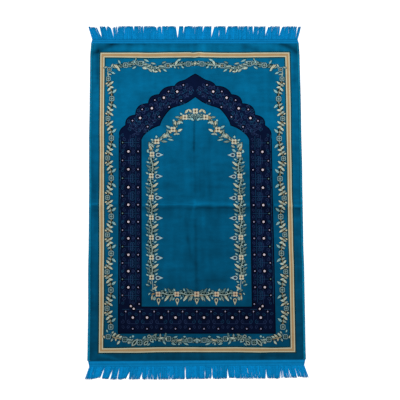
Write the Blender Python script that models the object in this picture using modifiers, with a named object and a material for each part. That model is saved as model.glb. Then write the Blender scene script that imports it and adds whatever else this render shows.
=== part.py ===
# A woven velvet prayer rug lying flat: pile panel, overlocked side edges and a fringe at each end.
# Units are metres. +Z is up, +Y points to the niche's apex, and the origin lies on the floor
# under the middle of the whole rug, fringes included.

import math
import random

import bmesh
import bpy

# ---- driving sizes -------------------------------------------------------------------------
RUG_WIDTH = 0.680  # outside the two side edges
OVERALL_LENGTH = 1.128  # from the tips of one fringe to the tips of the other
GAP = 0.0003  # clearance between pieces that touch

PILE_THICKNESS = 0.0035  # backing and velvet pile together
PILE_EDGE_ROLL = 0.0008  # how far the pile drops at the panel's rim
PILE_RIM = 0.004  # width of that rolled rim

EDGE_WIDTH = 0.0075  # overlocked thread along each side
EDGE_HEIGHT = 0.0040
EDGE_ROUNDING = 0.3  # corner radius of the thread wrap, as a share of its height

TOP_STRAND = 0.044  # free length of the strands at the apex end
BOTTOM_STRAND = 0.038
TOP_TAPE = 0.015  # woven heading that carries the strands
BOTTOM_TAPE = 0.020
TAPE_THICKNESS = 0.0020
TAPE_INSET = 0.0065  # the heading is drawn in narrower than the panel at each corner
TAPE_INNER_INSET = 0.35  # share of that inset beside the panel

STRANDS_PER_END = 120
STRAND_CLEARANCE = 0.0006  # between the roots of neighbouring strands
STRAND_UNEVENNESS = 0.06  # shortest strand, as a share less than the longest
CORNER_SPLAY = 0.0135  # how far the corner strands lean outwards

GRID_PITCH = 0.040  # widest spacing of the panel's surface lines

HALF_LENGTH = OVERALL_LENGTH / 2
PILE_TOP_Y = HALF_LENGTH - TOP_STRAND - TOP_TAPE
PILE_BOTTOM_Y = -HALF_LENGTH + BOTTOM_STRAND + BOTTOM_TAPE
PILE_HALF_WIDTH = RUG_WIDTH / 2 - EDGE_WIDTH - GAP

# ---- short tables --------------------------------------------------------------------------
# Creases left by folding the rug up. Columns: place on the axis, spread, height (+ ridge, - trough).
CREASES_ACROSS = (
    (0.338, 0.010, 0.0005),
    (0.039, 0.010, -0.0004),
    (-0.012, 0.007, 0.0012),
    (-0.026, 0.006, -0.0007),
    (-0.133, 0.010, 0.0004),
    (-0.215, 0.009, 0.0006),
)
CREASES_ALONG = (
    (-0.0035, 0.006, -0.0007),
    (0.0090, 0.007, 0.0006),
)

# Slow swells of the panel. Columns: wavelength in x, wavelength in y, phase, height.
SWELLS = (
    (0.90, 0.42, 0.6, 0.00030),
    (0.37, 0.61, 2.1, 0.00020),
)

# A strand's sections outwards. Columns: share of the length, thickness, width as a share of its lane.
STRAND_SECTIONS = (
    (0.42, 0.0015, 0.92),
    (1.00, 0.0012, 0.72),
)

# How the side edges wander from straight. Columns: y, left edge outwards, right edge outwards.
EDGE_WANDER = (
    (0.505, -0.0022, -0.0024),
    (0.458, 0.0000, -0.0010),
    (0.300, 0.0003, 0.0000),
    (0.200, 0.0010, -0.0006),
    (0.110, 0.0004, 0.0000),
    (0.020, -0.0005, -0.0008),
    (-0.100, -0.0009, -0.0010),
    (-0.150, -0.0008, -0.0014),
    (-0.220, 0.0001, -0.0002),
    (-0.350, -0.0009, -0.0005),
    (-0.480, -0.0004, -0.0010),
    (-0.506, 0.0000, -0.0006),
)

# Gaps that part a fringe into locks.
# Columns: x at the root, x at the tip, opening at the tip, share of the length where it starts.
TOP_GAPS = (
    (-0.301, -0.315, 0.0100, 0.28),
    (-0.288, -0.290, 0.0050, 0.80),
    (-0.262, -0.272, 0.0033, 0.10),
    (-0.251, -0.253, 0.0033, 0.42),
    (-0.194, -0.198, 0.0033, 0.38),
    (-0.169, -0.169, 0.0016, 0.38),
    (-0.140, -0.145, 0.0016, 0.16),
    (-0.109, -0.109, 0.0046, 0.38),
    (-0.057, -0.056, 0.0118, 0.04),
    (-0.042, -0.036, 0.0039, 0.36),
    (0.020, 0.026, 0.0049, 0.10),
    (0.037, 0.042, 0.0016, 0.16),
    (0.051, 0.056, 0.0120, 0.08),
    (0.076, 0.076, 0.0026, 0.25),
    (0.097, 0.100, 0.0046, 0.32),
    (0.188, 0.189, 0.0059, 0.54),
    (0.202, 0.206, 0.0026, 0.25),
    (0.225, 0.231, 0.0065, 0.28),
    (0.271, 0.279, 0.0090, 0.25),
    (0.325, 0.332, 0.0033, 0.40),
)
BOTTOM_GAPS = (
    (-0.310, -0.314, 0.0016, 0.14),
    (-0.286, -0.296, 0.0062, 0.28),
    (-0.262, -0.266, 0.0037, 0.34),
    (-0.240, -0.246, 0.0037, 0.16),
    (-0.205, -0.215, 0.0081, 0.44),
    (-0.167, -0.174, 0.0050, 0.50),
    (-0.150, -0.153, 0.0031, 0.26),
    (-0.138, -0.136, 0.0037, 0.52),
    (-0.116, -0.115, 0.0025, 0.26),
    (-0.080, -0.078, 0.0037, 0.10),
    (-0.057, -0.056, 0.0037, 0.16),
    (-0.036, -0.036, 0.0050, 0.02),
    (-0.004, -0.005, 0.0028, 0.36),
    (0.025, 0.025, 0.0050, 0.28),
    (0.045, 0.042, 0.0037, 0.16),
    (0.051, 0.053, 0.0037, 0.16),
    (0.075, 0.074, 0.0031, 0.02),
    (0.095, 0.097, 0.0043, 0.20),
    (0.113, 0.119, 0.0031, 0.18),
    (0.154, 0.161, 0.0043, 0.04),
    (0.171, 0.178, 0.0025, 0.24),
    (0.194, 0.195, 0.0028, 0.16),
    (0.213, 0.217, 0.0043, 0.22),
    (0.259, 0.261, 0.0025, 0.26),
    (0.270, 0.273, 0.0043, 0.34),
    (0.281, 0.287, 0.0037, 0.26),
    (0.303, 0.307, 0.0031, 0.22),
)


# ---- shared helpers ------------------------------------------------------------------------
def read_row(table, place, column):
    """Value of one column at a place along the table's first column, eased between rows."""
    rows = sorted(table)
    if place <= rows[0][0]:
        return rows[0][column]
    for low, high in zip(rows, rows[1:]):
        if place <= high[0]:
            share = (place - low[0]) / (high[0] - low[0])
            eased = share * share * (3 - 2 * share)
            return low[column] + (high[column] - low[column]) * eased
    return rows[-1][column]


def edge_x(side, y, inset=0.0):
    """x of a side edge at y. side is -1 for the left edge and 1 for the right one."""
    column = 1 if side < 0 else 2
    return side * (RUG_WIDTH / 2 - inset + read_row(EDGE_WANDER, y, column))


def soft_relief(x, y):
    """Height that the fold creases and the swells add to the pile at x, y."""
    height = 0.0
    for wave_x, wave_y, phase, rise in SWELLS:
        height += rise * math.sin(math.tau * (x / wave_x + y / wave_y) + phase)
    for place, spread, rise in CREASES_ACROSS:
        height += rise * math.exp(-(((y - place) / spread) ** 2))
    for place, spread, rise in CREASES_ALONG:
        height += rise * math.exp(-(((x - place) / spread) ** 2))
    return height


def surface_lines(low, high, creases):
    """Places of the panel's surface lines: the rims, each crease, and an even fill between."""
    marks = {low, low + PILE_RIM, high - PILE_RIM, high}
    for place, spread, _ in creases:
        marks.update((place - spread, place, place + spread))
    marks = sorted(marks)
    lines = [marks[0]]
    for start, end in zip(marks, marks[1:]):
        steps = max(1, math.ceil((end - start) / GRID_PITCH))
        for step in range(1, steps + 1):
            lines.append(start + (end - start) * step / steps)
    return lines


def fabric(name, color, roughness):
    """Plain cloth finish."""
    material = bpy.data.materials.new(name)
    material.use_nodes = True
    shader = material.node_tree.nodes["Principled BSDF"]
    shader.inputs["Base Color"].default_value = (*color, 1.0)
    shader.inputs["Roughness"].default_value = roughness
    shader.inputs["Metallic"].default_value = 0.0
    material.diffuse_color = (*color, 1.0)
    return material


def collection(name):
    group = bpy.data.collections.new(name)
    bpy.context.scene.collection.children.link(group)
    return group


def mesh_object(name, bm, group, material, closed=True):
    """Turns a bmesh into an object. A closed one gets outward faces, and a flat one keeps its own."""
    if closed:
        bmesh.ops.recalc_face_normals(bm, faces=bm.faces[:])
    mesh = bpy.data.meshes.new(name)
    bm.to_mesh(mesh)
    bm.free()
    mesh.materials.append(material)
    piece = bpy.data.objects.new(name, mesh)
    group.objects.link(piece)
    return piece


# ---- sub-parts -----------------------------------------------------------------------------
def make_pile_panel(group, material):
    """The woven velvet panel: flat underneath, with the fold creases in its face."""
    xs = surface_lines(-PILE_HALF_WIDTH, PILE_HALF_WIDTH, CREASES_ALONG)
    ys = surface_lines(PILE_BOTTOM_Y, PILE_TOP_Y, CREASES_ACROSS)
    bm = bmesh.new()
    bmesh.ops.create_grid(bm, x_segments=len(xs) - 1, y_segments=len(ys) - 1, size=0.5)
    for vert in bm.verts:
        column = round((vert.co.x + 0.5) * (len(xs) - 1))
        row = round((vert.co.y + 0.5) * (len(ys) - 1))
        x, y = xs[column], ys[row]
        side = 1 if x > 0 else -1
        rim = column in (0, len(xs) - 1) or row in (0, len(ys) - 1)
        drop = PILE_EDGE_ROLL if rim else 0.0
        reach = abs(x) / PILE_HALF_WIDTH
        wander = edge_x(side, y) - side * RUG_WIDTH / 2
        height = PILE_THICKNESS + soft_relief(x, y) - drop
        vert.co = (x + wander * reach**4, y, height)
    faces = bm.faces[:]
    under = bmesh.ops.extrude_face_region(bm, geom=faces, use_keep_orig=True)
    for item in under["geom"]:
        if isinstance(item, bmesh.types.BMVert):
            item.co.z = 0.0
    return mesh_object("pile_panel", bm, group, material)


def make_side_edge(name, side, group, material):
    """Overlocked thread wrapped along one side: a flat strip with rounded long edges."""
    ys = surface_lines(PILE_BOTTOM_Y, PILE_TOP_Y, CREASES_ACROSS)
    bm = bmesh.new()
    bmesh.ops.create_grid(bm, x_segments=1, y_segments=len(ys) - 1, size=0.5)
    for vert in bm.verts:
        y = ys[round((vert.co.y + 0.5) * (len(ys) - 1))]
        outer = vert.co.x * side > 0
        vert.co = (edge_x(side, y, 0.0 if outer else EDGE_WIDTH), y, 0.0)
    piece = mesh_object(name, bm, group, material, closed=False)
    thicken = piece.modifiers.new("thickness", "SOLIDIFY")
    thicken.thickness = EDGE_HEIGHT
    thicken.offset = 1.0
    rounding = piece.modifiers.new("rounding", "BEVEL")
    rounding.width = EDGE_HEIGHT * EDGE_ROUNDING
    rounding.segments = 2
    rounding.limit_method = "ANGLE"
    rounding.angle_limit = math.radians(60)
    return piece


def strand_place(x, gaps, share):
    """x of a point rooted at x, at a share of the way to the tips of its lock."""
    half = RUG_WIDTH / 2 - TAPE_INSET
    rows = [(-half, -half - CORNER_SPLAY, 0.0, 0.0), *gaps, (half, half + CORNER_SPLAY, 0.0, 0.0)]
    for left, right in zip(rows, rows[1:]):
        if x <= right[0]:
            break
    low, high = (
        root + (tip - root) * share + edge * opening / 2 * max(0.0, (share - start) / (1 - start))
        for (root, tip, opening, start), edge in ((left, 1), (right, -1))
    )
    return low + (x - left[0]) * (high - low) / (right[0] - left[0])


def make_heading(end, tape_width):
    """The flat heading, parted by lines at both sides of each strand's root."""
    panel_y = PILE_TOP_Y if end > 0 else PILE_BOTTOM_Y
    half_width = RUG_WIDTH / 2 - TAPE_INSET
    pitch = 2 * half_width / STRANDS_PER_END
    lines = [-half_width]
    for index in range(STRANDS_PER_END):
        middle = -half_width + pitch * (index + 0.5)
        lines.append(middle - (pitch - STRAND_CLEARANCE) / 2)
        lines.append(middle + (pitch - STRAND_CLEARANCE) / 2)
    lines.append(half_width)
    bm = bmesh.new()
    bmesh.ops.create_grid(bm, x_segments=len(lines) - 1, y_segments=1, size=0.5)
    for vert in bm.verts:
        share = 0.5 + end * vert.co.y
        x = lines[round((vert.co.x + 0.5) * (len(lines) - 1))]
        spread = 1 + (1 - share) * TAPE_INSET * (1 - TAPE_INNER_INSET) / half_width
        vert.co = (x * spread, panel_y + end * (GAP + (tape_width - GAP) * share), 0.0)
    raised = bmesh.ops.extrude_face_region(bm, geom=bm.faces[:], use_keep_orig=True)
    for item in raised["geom"]:
        if isinstance(item, bmesh.types.BMVert):
            item.co.z = TAPE_THICKNESS
    bmesh.ops.recalc_face_normals(bm, faces=bm.faces[:])
    return bm, panel_y + end * tape_width


def make_fringe(name, end, tape_width, length, gaps, seed, group, material):
    """A heading with its strands drawn out of it. end is 1 at the niche's apex and -1 at its foot."""
    bm, tape_y = make_heading(end, tape_width)
    roots = []
    for face in bm.faces:
        middle = face.calc_center_median()
        wide = max(edge.calc_length() for edge in face.edges) > 2 * STRAND_CLEARANCE
        if abs(middle.y - tape_y) < GAP / 2 and wide and face.normal.y * end > 0.9:
            roots.append(face)
    roots.sort(key=lambda face: face.calc_center_median().x)
    rng = random.Random(seed)
    shortfalls = [rng.random() for _ in roots]
    longest = min(shortfalls)
    reaches = [length * (1 - STRAND_UNEVENNESS * (part - longest)) for part in shortfalls]
    spans = [sorted({vert.co.x for vert in face.verts}) for face in roots]
    for share, thickness, narrowing in STRAND_SECTIONS:
        for index, (reach, (left, right)) in enumerate(zip(reaches, spans)):
            drawn = bmesh.ops.extrude_discrete_faces(bm, faces=[roots[index]])["faces"][0]
            middle = drawn.calc_center_median()
            tips = [strand_place(x, gaps, share) for x in (left, right)]
            inset = (tips[1] - tips[0]) * (1 - narrowing) / 2
            for vert in drawn.verts:
                x = tips[0] + inset if vert.co.x < middle.x else tips[1] - inset
                vert.co = (x, tape_y + end * reach * share, 0.0 if vert.co.z < middle.z else thickness)
            roots[index] = drawn
    return mesh_object(name, bm, group, material)


def main():
    for item in list(bpy.data.objects):
        bpy.data.objects.remove(item)
    pieces = collection("prayer_rug")
    velvet = fabric("teal_velvet", (0.004, 0.105, 0.225), 0.85)
    yarn = fabric("blue_fringe_yarn", (0.005, 0.165, 0.480), 0.6)
    thread = fabric("edge_thread", (0.008, 0.125, 0.285), 0.7)
    make_pile_panel(pieces, velvet)
    make_side_edge("side_edge_left", -1, pieces, thread)
    make_side_edge("side_edge_right", 1, pieces, thread)
    make_fringe("fringe_top", 1, TOP_TAPE, TOP_STRAND, TOP_GAPS, 7, pieces, yarn)
    make_fringe("fringe_bottom", -1, BOTTOM_TAPE, BOTTOM_STRAND, BOTTOM_GAPS, 11, pieces, yarn)


main()
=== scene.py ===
import bpy
import bmesh
import math
import random
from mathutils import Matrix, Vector, noise
from mathutils.bvhtree import BVHTree
from mathutils.geometry import delaunay_2d_cdt


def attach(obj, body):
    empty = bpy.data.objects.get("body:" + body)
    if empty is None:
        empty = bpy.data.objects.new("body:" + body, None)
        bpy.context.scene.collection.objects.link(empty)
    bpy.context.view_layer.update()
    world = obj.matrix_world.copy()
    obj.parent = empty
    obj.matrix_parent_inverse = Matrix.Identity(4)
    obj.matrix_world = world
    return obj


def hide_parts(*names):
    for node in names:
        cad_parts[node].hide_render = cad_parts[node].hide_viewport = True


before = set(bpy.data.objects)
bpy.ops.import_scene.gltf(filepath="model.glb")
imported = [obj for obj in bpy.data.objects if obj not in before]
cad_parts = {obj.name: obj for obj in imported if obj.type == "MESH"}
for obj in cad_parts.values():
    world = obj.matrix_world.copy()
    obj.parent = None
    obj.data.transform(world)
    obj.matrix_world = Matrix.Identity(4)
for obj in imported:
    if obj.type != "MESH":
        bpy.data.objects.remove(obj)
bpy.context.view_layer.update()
mm = 0.001

# sizes shared by all the pieces, in metres
rug = {
    "width": 0.680,
    "pileTop": 0.505,
    "pileBottom": -0.506,
    "pileHalf": 0.3322,
}

# how far each long side leans outwards, along the rug: y, left side, right side
edgeWander = [
    (0.505, -0.0022, -0.0024), (0.458, 0, -0.001), (0.3, 0.0003, 0), (0.2, 0.001, -0.0006),
    (0.11, 0.0004, 0), (0.02, -0.0005, -0.0008), (-0.1, -0.0009, -0.001), (-0.15, -0.0008, -0.0014),
    (-0.22, 0.0001, -0.0002), (-0.35, -0.0009, -0.0005), (-0.48, -0.0004, -0.001), (-0.506, 0, -0.0006),
]

# fold lines left by folding: place, half width, height
creasesAcross = [
    (0.338, 0.010, 0.0005), (0.039, 0.010, -0.0004), (-0.020, 0.007, 0.0012),
    (-0.034, 0.006, -0.0007), (-0.133, 0.010, 0.0004), (-0.215, 0.009, 0.0006),
]
creasesAlong = [(-0.0035, 0.006, -0.0007), (0.0090, 0.007, 0.0006)]
swells = [(0.90, 0.42, 0.6, 0.00030), (0.37, 0.61, 2.1, 0.00020)]


def readRow(table, place, column):
    rows = sorted(table)
    if place <= rows[0][0]:
        return rows[0][column]
    for low, high in zip(rows, rows[1:]):
        if place <= high[0]:
            share = (place - low[0]) / (high[0] - low[0])
            eased = share * share * (3 - 2 * share)
            return low[column] + (high[column] - low[column]) * eased
    return rows[-1][column]


def edgeX(side, y, inset=0.0):
    column = 1 if side < 0 else 2
    return side * (rug["width"] / 2 - inset + readRow(edgeWander, y, column))


def bell(distance, spread):
    return math.exp(-((distance / spread) ** 2))


def softRelief(x, y):
    height = 0.0
    for waveX, waveY, phase, rise in swells:
        height += rise * math.sin(math.tau * (x / waveX + y / waveY) + phase)
    for place, spread, rise in creasesAcross:
        height += rise * bell(y - place, spread)
    for place, spread, rise in creasesAlong:
        height += rise * bell(x - place, spread)
    return height


def linear(red, green, blue):
    tones = [value / 255 for value in (red, green, blue)]
    return [t / 12.92 if t <= 0.04045 else ((t + 0.055) / 1.055) ** 2.4 for t in tones]


# ---- finishes
def newFinish(name, roughness, sheen, sheenRoughness, sheenTint):
    finish = bpy.data.materials.new(name)
    finish.use_nodes = True
    shader = finish.node_tree.nodes["Principled BSDF"]
    shader.inputs["Roughness"].default_value = roughness
    shader.inputs["Specular IOR Level"].default_value = 0.02
    shader.inputs["Sheen Weight"].default_value = sheen
    shader.inputs["Sheen Roughness"].default_value = sheenRoughness
    shader.inputs["Sheen Tint"].default_value = (*sheenTint, 1)
    return finish, finish.node_tree, shader


def addNode(tree, kind, **values):
    node = tree.nodes.new(kind)
    for key, value in values.items():
        if key in node.inputs:
            node.inputs[key].default_value = value
        else:
            setattr(node, key, value)
    return node


def mathNode(tree, operation, first, second):
    node = addNode(tree, "ShaderNodeMath", operation=operation)
    for socket, value in zip(node.inputs, (first, second)):
        if isinstance(value, (int, float)):
            socket.default_value = value
        else:
            tree.links.new(value, socket)
    return node.outputs[0]


def product(tree, first, *others):
    for factor in others:
        first = mathNode(tree, "MULTIPLY", first, factor)
    return first


def rangeNode(tree, value, low, high, toLow, toHigh):
    node = addNode(tree, "ShaderNodeMapRange")
    for socket, number in zip(node.inputs[1:5], (low, high, toLow, toHigh)):
        socket.default_value = number
    tree.links.new(value, node.inputs[0])
    return node.outputs[0]


def noiseNode(tree, place, scale, detail=2.0, stretch=(1, 1, 1)):
    if stretch != (1, 1, 1):
        mapping = addNode(tree, "ShaderNodeMapping")
        mapping.inputs["Scale"].default_value = stretch
        tree.links.new(place, mapping.inputs["Vector"])
        place = mapping.outputs[0]
    node = addNode(tree, "ShaderNodeTexNoise", Scale=scale, Detail=detail)
    tree.links.new(place, node.inputs["Vector"])
    return node.outputs["Fac"]


def bandNode(tree, place, direction, pitch, distortion=0.0):
    node = addNode(tree, "ShaderNodeTexWave", wave_type="BANDS", bands_direction=direction)
    node.inputs["Scale"].default_value = math.tau / 20 / pitch
    node.inputs["Distortion"].default_value = distortion
    node.inputs["Detail"].default_value = 0.0
    tree.links.new(place, node.inputs["Vector"])
    return node.outputs["Fac"]


def tinted(tree, color, shade):
    mix = addNode(tree, "ShaderNodeMix", data_type="RGBA", blend_type="MULTIPLY")
    mix.inputs["Factor"].default_value = 1.0
    mix.inputs[6].default_value = (*color, 1)
    tree.links.new(shade, mix.inputs[7])
    return mix.outputs[2]


def addBump(tree, shader, height, strength, distance):
    bump = addNode(tree, "ShaderNodeBump")
    bump.inputs["Strength"].default_value = strength
    bump.inputs["Distance"].default_value = distance
    tree.links.new(height, bump.inputs["Height"])
    tree.links.new(bump.outputs["Normal"], shader.inputs["Normal"])


velvet = {
    "roughness": 0.80,
    "sheen": 0.14,
    "sheenRoughness": 0.40,
    "tuftPitch": 0.00115,
    "rowPitch": 0.00135,
    "tuftDepth": 0.00035,
    "bump": 0.35,
    "brushing": 0.07,
    "fibreScale": 1500,
    "brushScale": 110,
    "fleckScale": 620,
}


def makeVelvet(name, color, reach):
    # reach: how far the painted shade of the pile's nap and folds goes into this yarn
    v = velvet
    tint = [min(1.0, value * 3) for value in color]
    finish, tree, shader = newFinish(name, v["roughness"], v["sheen"], v["sheenRoughness"], tint)
    place = addNode(tree, "ShaderNodeTexCoord").outputs["Object"]
    # the attribute holds painted light and shade of the pile (darker towards the bottom, along the folds
    # and in patches) with random uneven brushing
    brushingAndShade = addNode(tree, "ShaderNodeAttribute", attribute_name="brushingAndShade").outputs["Fac"]
    across = bandNode(tree, place, "X", v["tuftPitch"], 0.6)
    tufts = product(tree, across, bandNode(tree, place, "Y", v["rowPitch"], 0.4))
    fibres = noiseNode(tree, place, v["fibreScale"], 2)
    brushed = noiseNode(tree, place, v["brushScale"], 4, (0.55, 1.0, 1.0))
    fleck = noiseNode(tree, place, v["fleckScale"], 2)
    swing = v["brushing"] * (0.6 + 0.4 * reach)
    # the tufts are lighter on top and darker between them, painted shade in the hollows
    shade = product(
        tree, rangeNode(tree, brushed, 0.3, 0.7, 1 - swing, 1 + swing),
        rangeNode(tree, fleck, 0.25, 0.75, 0.90, 1.10), rangeNode(tree, tufts, 0.0, 1.0, 0.90, 1.10),
        mathNode(tree, "POWER", brushingAndShade, reach),
    )
    tree.links.new(tinted(tree, color, shade), shader.inputs["Base Color"])
    height = mathNode(tree, "ADD", tufts, mathNode(tree, "MULTIPLY", fibres, 0.7))
    addBump(tree, shader, height, v["bump"], v["tuftDepth"])
    return finish


# yarn colours of the pile: name, sRGB colour, how far the painted nap and fold shade goes into it
pileYarns = {
    "teal_ground": ((1, 93, 133), 1.0),
    "night_navy": ((6, 17, 46), 0.60),
    "pearl_halo": ((4, 4, 14), 0.45),
    "deep_navy": ((2, 4, 22), 0.45),
    "honey_gold": ((165, 136, 97), 0.25),
    "frame_cream": ((188, 186, 160), 0.25),
    "ivory": ((190, 188, 166), 0.30),
    "rose_ivory": ((192, 178, 154), 0.35),
    "leaf_cream": ((184, 184, 160), 0.40),
    "vine_pale": ((150, 172, 166), 0.45),
    "vine_dim": ((122, 148, 144), 0.50),
    "ring_blue": ((118, 150, 158), 0.45),
    "frost_leaf": ((184, 200, 186), 0.40),
    "vine_shade": ((10, 40, 42), 0.60),
    "bud_pale": ((156, 186, 194), 0.40),
    "sky_leaf": ((138, 182, 186), 0.50),
    "dusk_leaf": ((98, 132, 136), 0.55),
    "tan_leaf": ((152, 136, 108), 0.50),
    "rust_heart": ((84, 60, 44), 0.50),
    "brick_heart": ((124, 70, 54), 0.50),
    "moss_heart": ((88, 118, 114), 0.50),
    "pearl": ((208, 196, 208), 0.35),
    "pearl_dim": ((150, 148, 180), 0.45),
    "curl_blue": ((42, 58, 95), 0.50),
    "curl_teal": ((26, 70, 102), 0.50),
    "navy_haze": ((8, 22, 54), 0.50),
    "frame_shade": ((18, 66, 76), 0.80),
}
# short names for the ones that the vines and scrolls use most
cream, frost, pale, dim, sky = "leaf_cream", "frost_leaf", "vine_pale", "vine_dim", "sky_leaf"
dusk, tan, moss, dark = "dusk_leaf", "tan_leaf", "moss_heart", "vine_shade"
blue, teal = "curl_blue", "curl_teal"


# ---- pattern of the pile, drawn in millimetres as flat outlines, later ones over earlier ones
pattern = []


def penAt(x, y, angle=0.0, hand=1, flip=1, stretch=1.0):
    # hand -1 turns the motif over, flip -1 sets it on the other half of the rug
    cosine, sine = math.cos(math.radians(angle)), math.sin(math.radians(angle))

    def pen(layer, yarn, shape, a=0.0, b=0.0, turn=0.0):
        cosTurn, sinTurn = math.cos(math.radians(turn)), math.sin(math.radians(turn))
        outline = []
        for px, py in shape:
            along = a + px * cosTurn - py * sinTurn
            across = (b * stretch + px * sinTurn + py * cosTurn) * hand
            spotX = x + along * cosine - across * sine
            outline.append((flip * spotX, y + along * sine + across * cosine))
        pattern.append((layer, yarn, outline))

    return pen


def leafShape(length, width, belly=0.45, steps=6):
    bend = math.log(0.5) / math.log(belly)
    sides = [
        (length * k / steps, width / 2 * math.sin(math.pi * (k / steps) ** bend))
        for k in range(1, steps)
    ]
    lower = [(x, -w) for x, w in sides]
    return [(0, 0), *lower, (length, 0), *reversed(sides)]


def roundShape(radius, points=12, lobes=0, depth=0.0, turn=0.0, tall=1.0):
    outline = []
    for k in range(points):
        a = math.tau * k / points
        reach = radius * (1 - depth + depth * abs(math.cos(lobes * (a - math.radians(turn)) / 2)))
        outline.append((reach * math.cos(a), reach * math.sin(a) * tall))
    return outline


def barShape(length, width):
    a, b = length / 2, width / 2
    return [(-a, -b), (a, -b), (a, b), (-a, b)]


def strokeShape(points, width, taper=1.0):
    left, right = [], []
    for k, (x, y) in enumerate(points):
        before, after = points[max(0, k - 1)], points[min(len(points) - 1, k + 1)]
        dx, dy = after[0] - before[0], after[1] - before[1]
        size = math.hypot(dx, dy) or 1.0
        half = width / 2 * (1 + (taper - 1) * k / (len(points) - 1))
        left.append((x - dy / size * half, y + dx / size * half))
        right.append((x + dy / size * half, y - dx / size * half))
    return left + right[::-1]


def curve(points, steps=5):
    # smooth line through the points
    line = []
    for k in range(len(points) - 1):
        p0, p1 = points[max(0, k - 1)], points[k]
        p2, p3 = points[k + 1], points[min(len(points) - 1, k + 2)]
        for step in range(steps):
            t = step / steps
            line.append(tuple(
                0.5 * (2 * b + (c - a) * t + (2 * a - 5 * b + 4 * c - d) * t * t
                       + (3 * b - a - 3 * c + d) * t ** 3)
                for a, b, c, d in zip(p0, p1, p2, p3)
            ))
    return line + [tuple(points[-1])]


def ahead(a, b, turn, reach):
    return a + math.cos(math.radians(turn)) * reach, b + math.sin(math.radians(turn)) * reach


def drawLeaf(pen, yarn, a, b, turn, length, width, hollow=False):
    pen(1, dark, leafShape(length + 3.4, width + 3.8), *ahead(a, b, turn, -1.7), turn)
    pen(2, yarn, leafShape(length, width), a, b, turn)
    if hollow:
        pen(3, dark, leafShape(length * 0.66, width * 0.50), *ahead(a, b, turn, length * 0.17), turn)
    elif length > 11:
        pen(3, dark, leafShape(length * 0.55, 0.8), *ahead(a, b, turn, length * 0.08), turn)


def drawBlade(pen, yarn, x, y, toX, toY, width, hollow=False):
    turn = math.degrees(math.atan2(toY - y, toX - x))
    drawLeaf(pen, yarn, x, y, turn, math.hypot(toX - x, toY - y), width, hollow)


def drawBud(pen, a, b, turn, length=24.0, width=13.0, rim="bud_pale"):
    def leaf(layer, yarn, start, long, wide, belly, steps=6):
        pen(layer, yarn, leafShape(long, wide, belly, steps), *ahead(a, b, turn, start), turn)

    leaf(1, dark, -1.6, length + 3, width + 3.2, 0.27, 8)
    leaf(2, rim, 0, length, width, 0.25, 9)
    leaf(2, rim, length * 0.44, length * 0.58, width * 0.48, 0.25)
    leaf(3, dark, length * 0.11, length * 0.50, width * 0.60, 0.42)
    leaf(4, blue, length * 0.17, length * 0.36, width * 0.34, 0.40)
    pen(5, "rust_heart", roundShape(1.1, 8), *ahead(a, b, turn, length * 0.32), turn)


def drawFullFlower(pen, size=1.0, petals="ivory", heart="rust_heart"):
    # four pale petals close round a rust heart
    pen(1, dark, roundShape(10.4 * size, 16, 4, 0.16, 45))
    for da, db in ((1, 1), (1, -1), (-1, -1), (-1, 1)):
        pen(2, petals, roundShape(4.5 * size, 12, 4, 0.12, 45), 4.3 * da * size, 4.3 * db * size)
    pen(3, tan, barShape(1.7 * size, 12.0 * size))
    pen(3, tan, barShape(12.0 * size, 1.5 * size))
    pen(4, heart, roundShape(2.9 * size, 10, tall=1.15))


def drawOpenFlower(pen, size=1.0, heart=pale):
    # an outlined flower with a dark inside
    pen(1, dark, roundShape(11.4 * size, 16, 4, 0.14, 45))
    pen(2, "ring_blue", roundShape(9.8 * size, 24, 4, 0.18, 45))
    pen(3, dark, roundShape(6.7 * size, 24, 4, 0.18, 45))
    for turn in (0, 90):
        pen(4, dusk, barShape(12.0 * size, 1.3), 0, 0, turn)
    pen(5, heart, roundShape(3.0 * size, 10))
    pen(6, dark, roundShape(1.2 * size, 8))


def drawCurl(x, y, radius, turns, start, hand, yarn, width=1.1, flip=1):
    points = []
    steps = int(10 * turns)
    for k in range(steps + 1):
        t = k / steps
        a, reach = math.radians(start) + hand * math.tau * turns * t, radius * (1 - 0.75 * t)
        points.append((x + reach * math.cos(a), y + reach * math.sin(a)))
    penAt(0, 0, flip=flip)(6, yarn, strokeShape(points, width, 0.6))


def drawPearl(x, y, radius, yarn, flip=1, tall=1.0):
    pen = penAt(x, y, flip=flip)
    pen(7, "pearl_halo", roundShape(radius * 1.25 + 3.2, 14))
    pen(8, yarn, roundShape(radius, 16, 8, 0.10, tall=tall))
    if radius > 3:
        pen(9, tan, roundShape(0.8, 6))


# ---- frame line
frameLine = {
    "outerX": 306.9, "innerX": 292.0,
    "outerTop": 475.9, "innerTop": 458.7,
    "outerBottom": -483.0, "innerBottom": -466.4,
    "creamBand": 3.4,
    "shadeBand": 4.2,
    "pitch": 12,  # between the points that bend the line
}

# how far the line wanders outwards on each side: place along it, outer edge, inner edge
frameWander = {
    "left": [
        (440, 0.0, 1.7), (320, -0.5, 2.0), (240, -0.6, 1.5), (150, -1.6, 0.8), (50, -0.8, 0.8),
        (-27, -0.1, 0.5), (-100, -1.0, -0.2), (-215, -2.3, -1.0), (-330, -2.2, -1.2), (-440, -2.5, -0.3),
    ],
    "right": [
        (440, -0.4, 0.7), (320, -0.7, 0.5), (240, -1.0, 0.0), (150, -1.6, 0.4), (9, -1.6, 0.3),
        (-30, -0.7, 0.3), (-105, -0.6, 0.0), (-180, -0.5, 1.2), (-295, -0.6, 1.2), (-440, -0.2, 0.9),
    ],
    "top": [
        (-266, -1.8, 0.4), (-190, -1.5, -0.3), (-150, -2.3, -0.7), (-72, -1.1, 0.2), (-20, -0.7, 0.8),
        (40, -1.5, 0.9), (85, -2.3, 0.1), (160, -2.1, 0.3), (200, -1.0, 1.2), (278, -0.7, 2.2),
    ],
    "bottom": [
        (-266, -1.1, 2.6), (-189, -0.6, 1.5), (-111, -2.0, 0.2), (-33, -1.9, 0.3), (44, -1.3, 1.2),
        (122, -1.0, 0.7), (161, 0.0, 1.6), (200, 0.8, 2.2), (239, -0.1, 2.9), (290, 0.2, 2.1),
    ],
}


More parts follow.
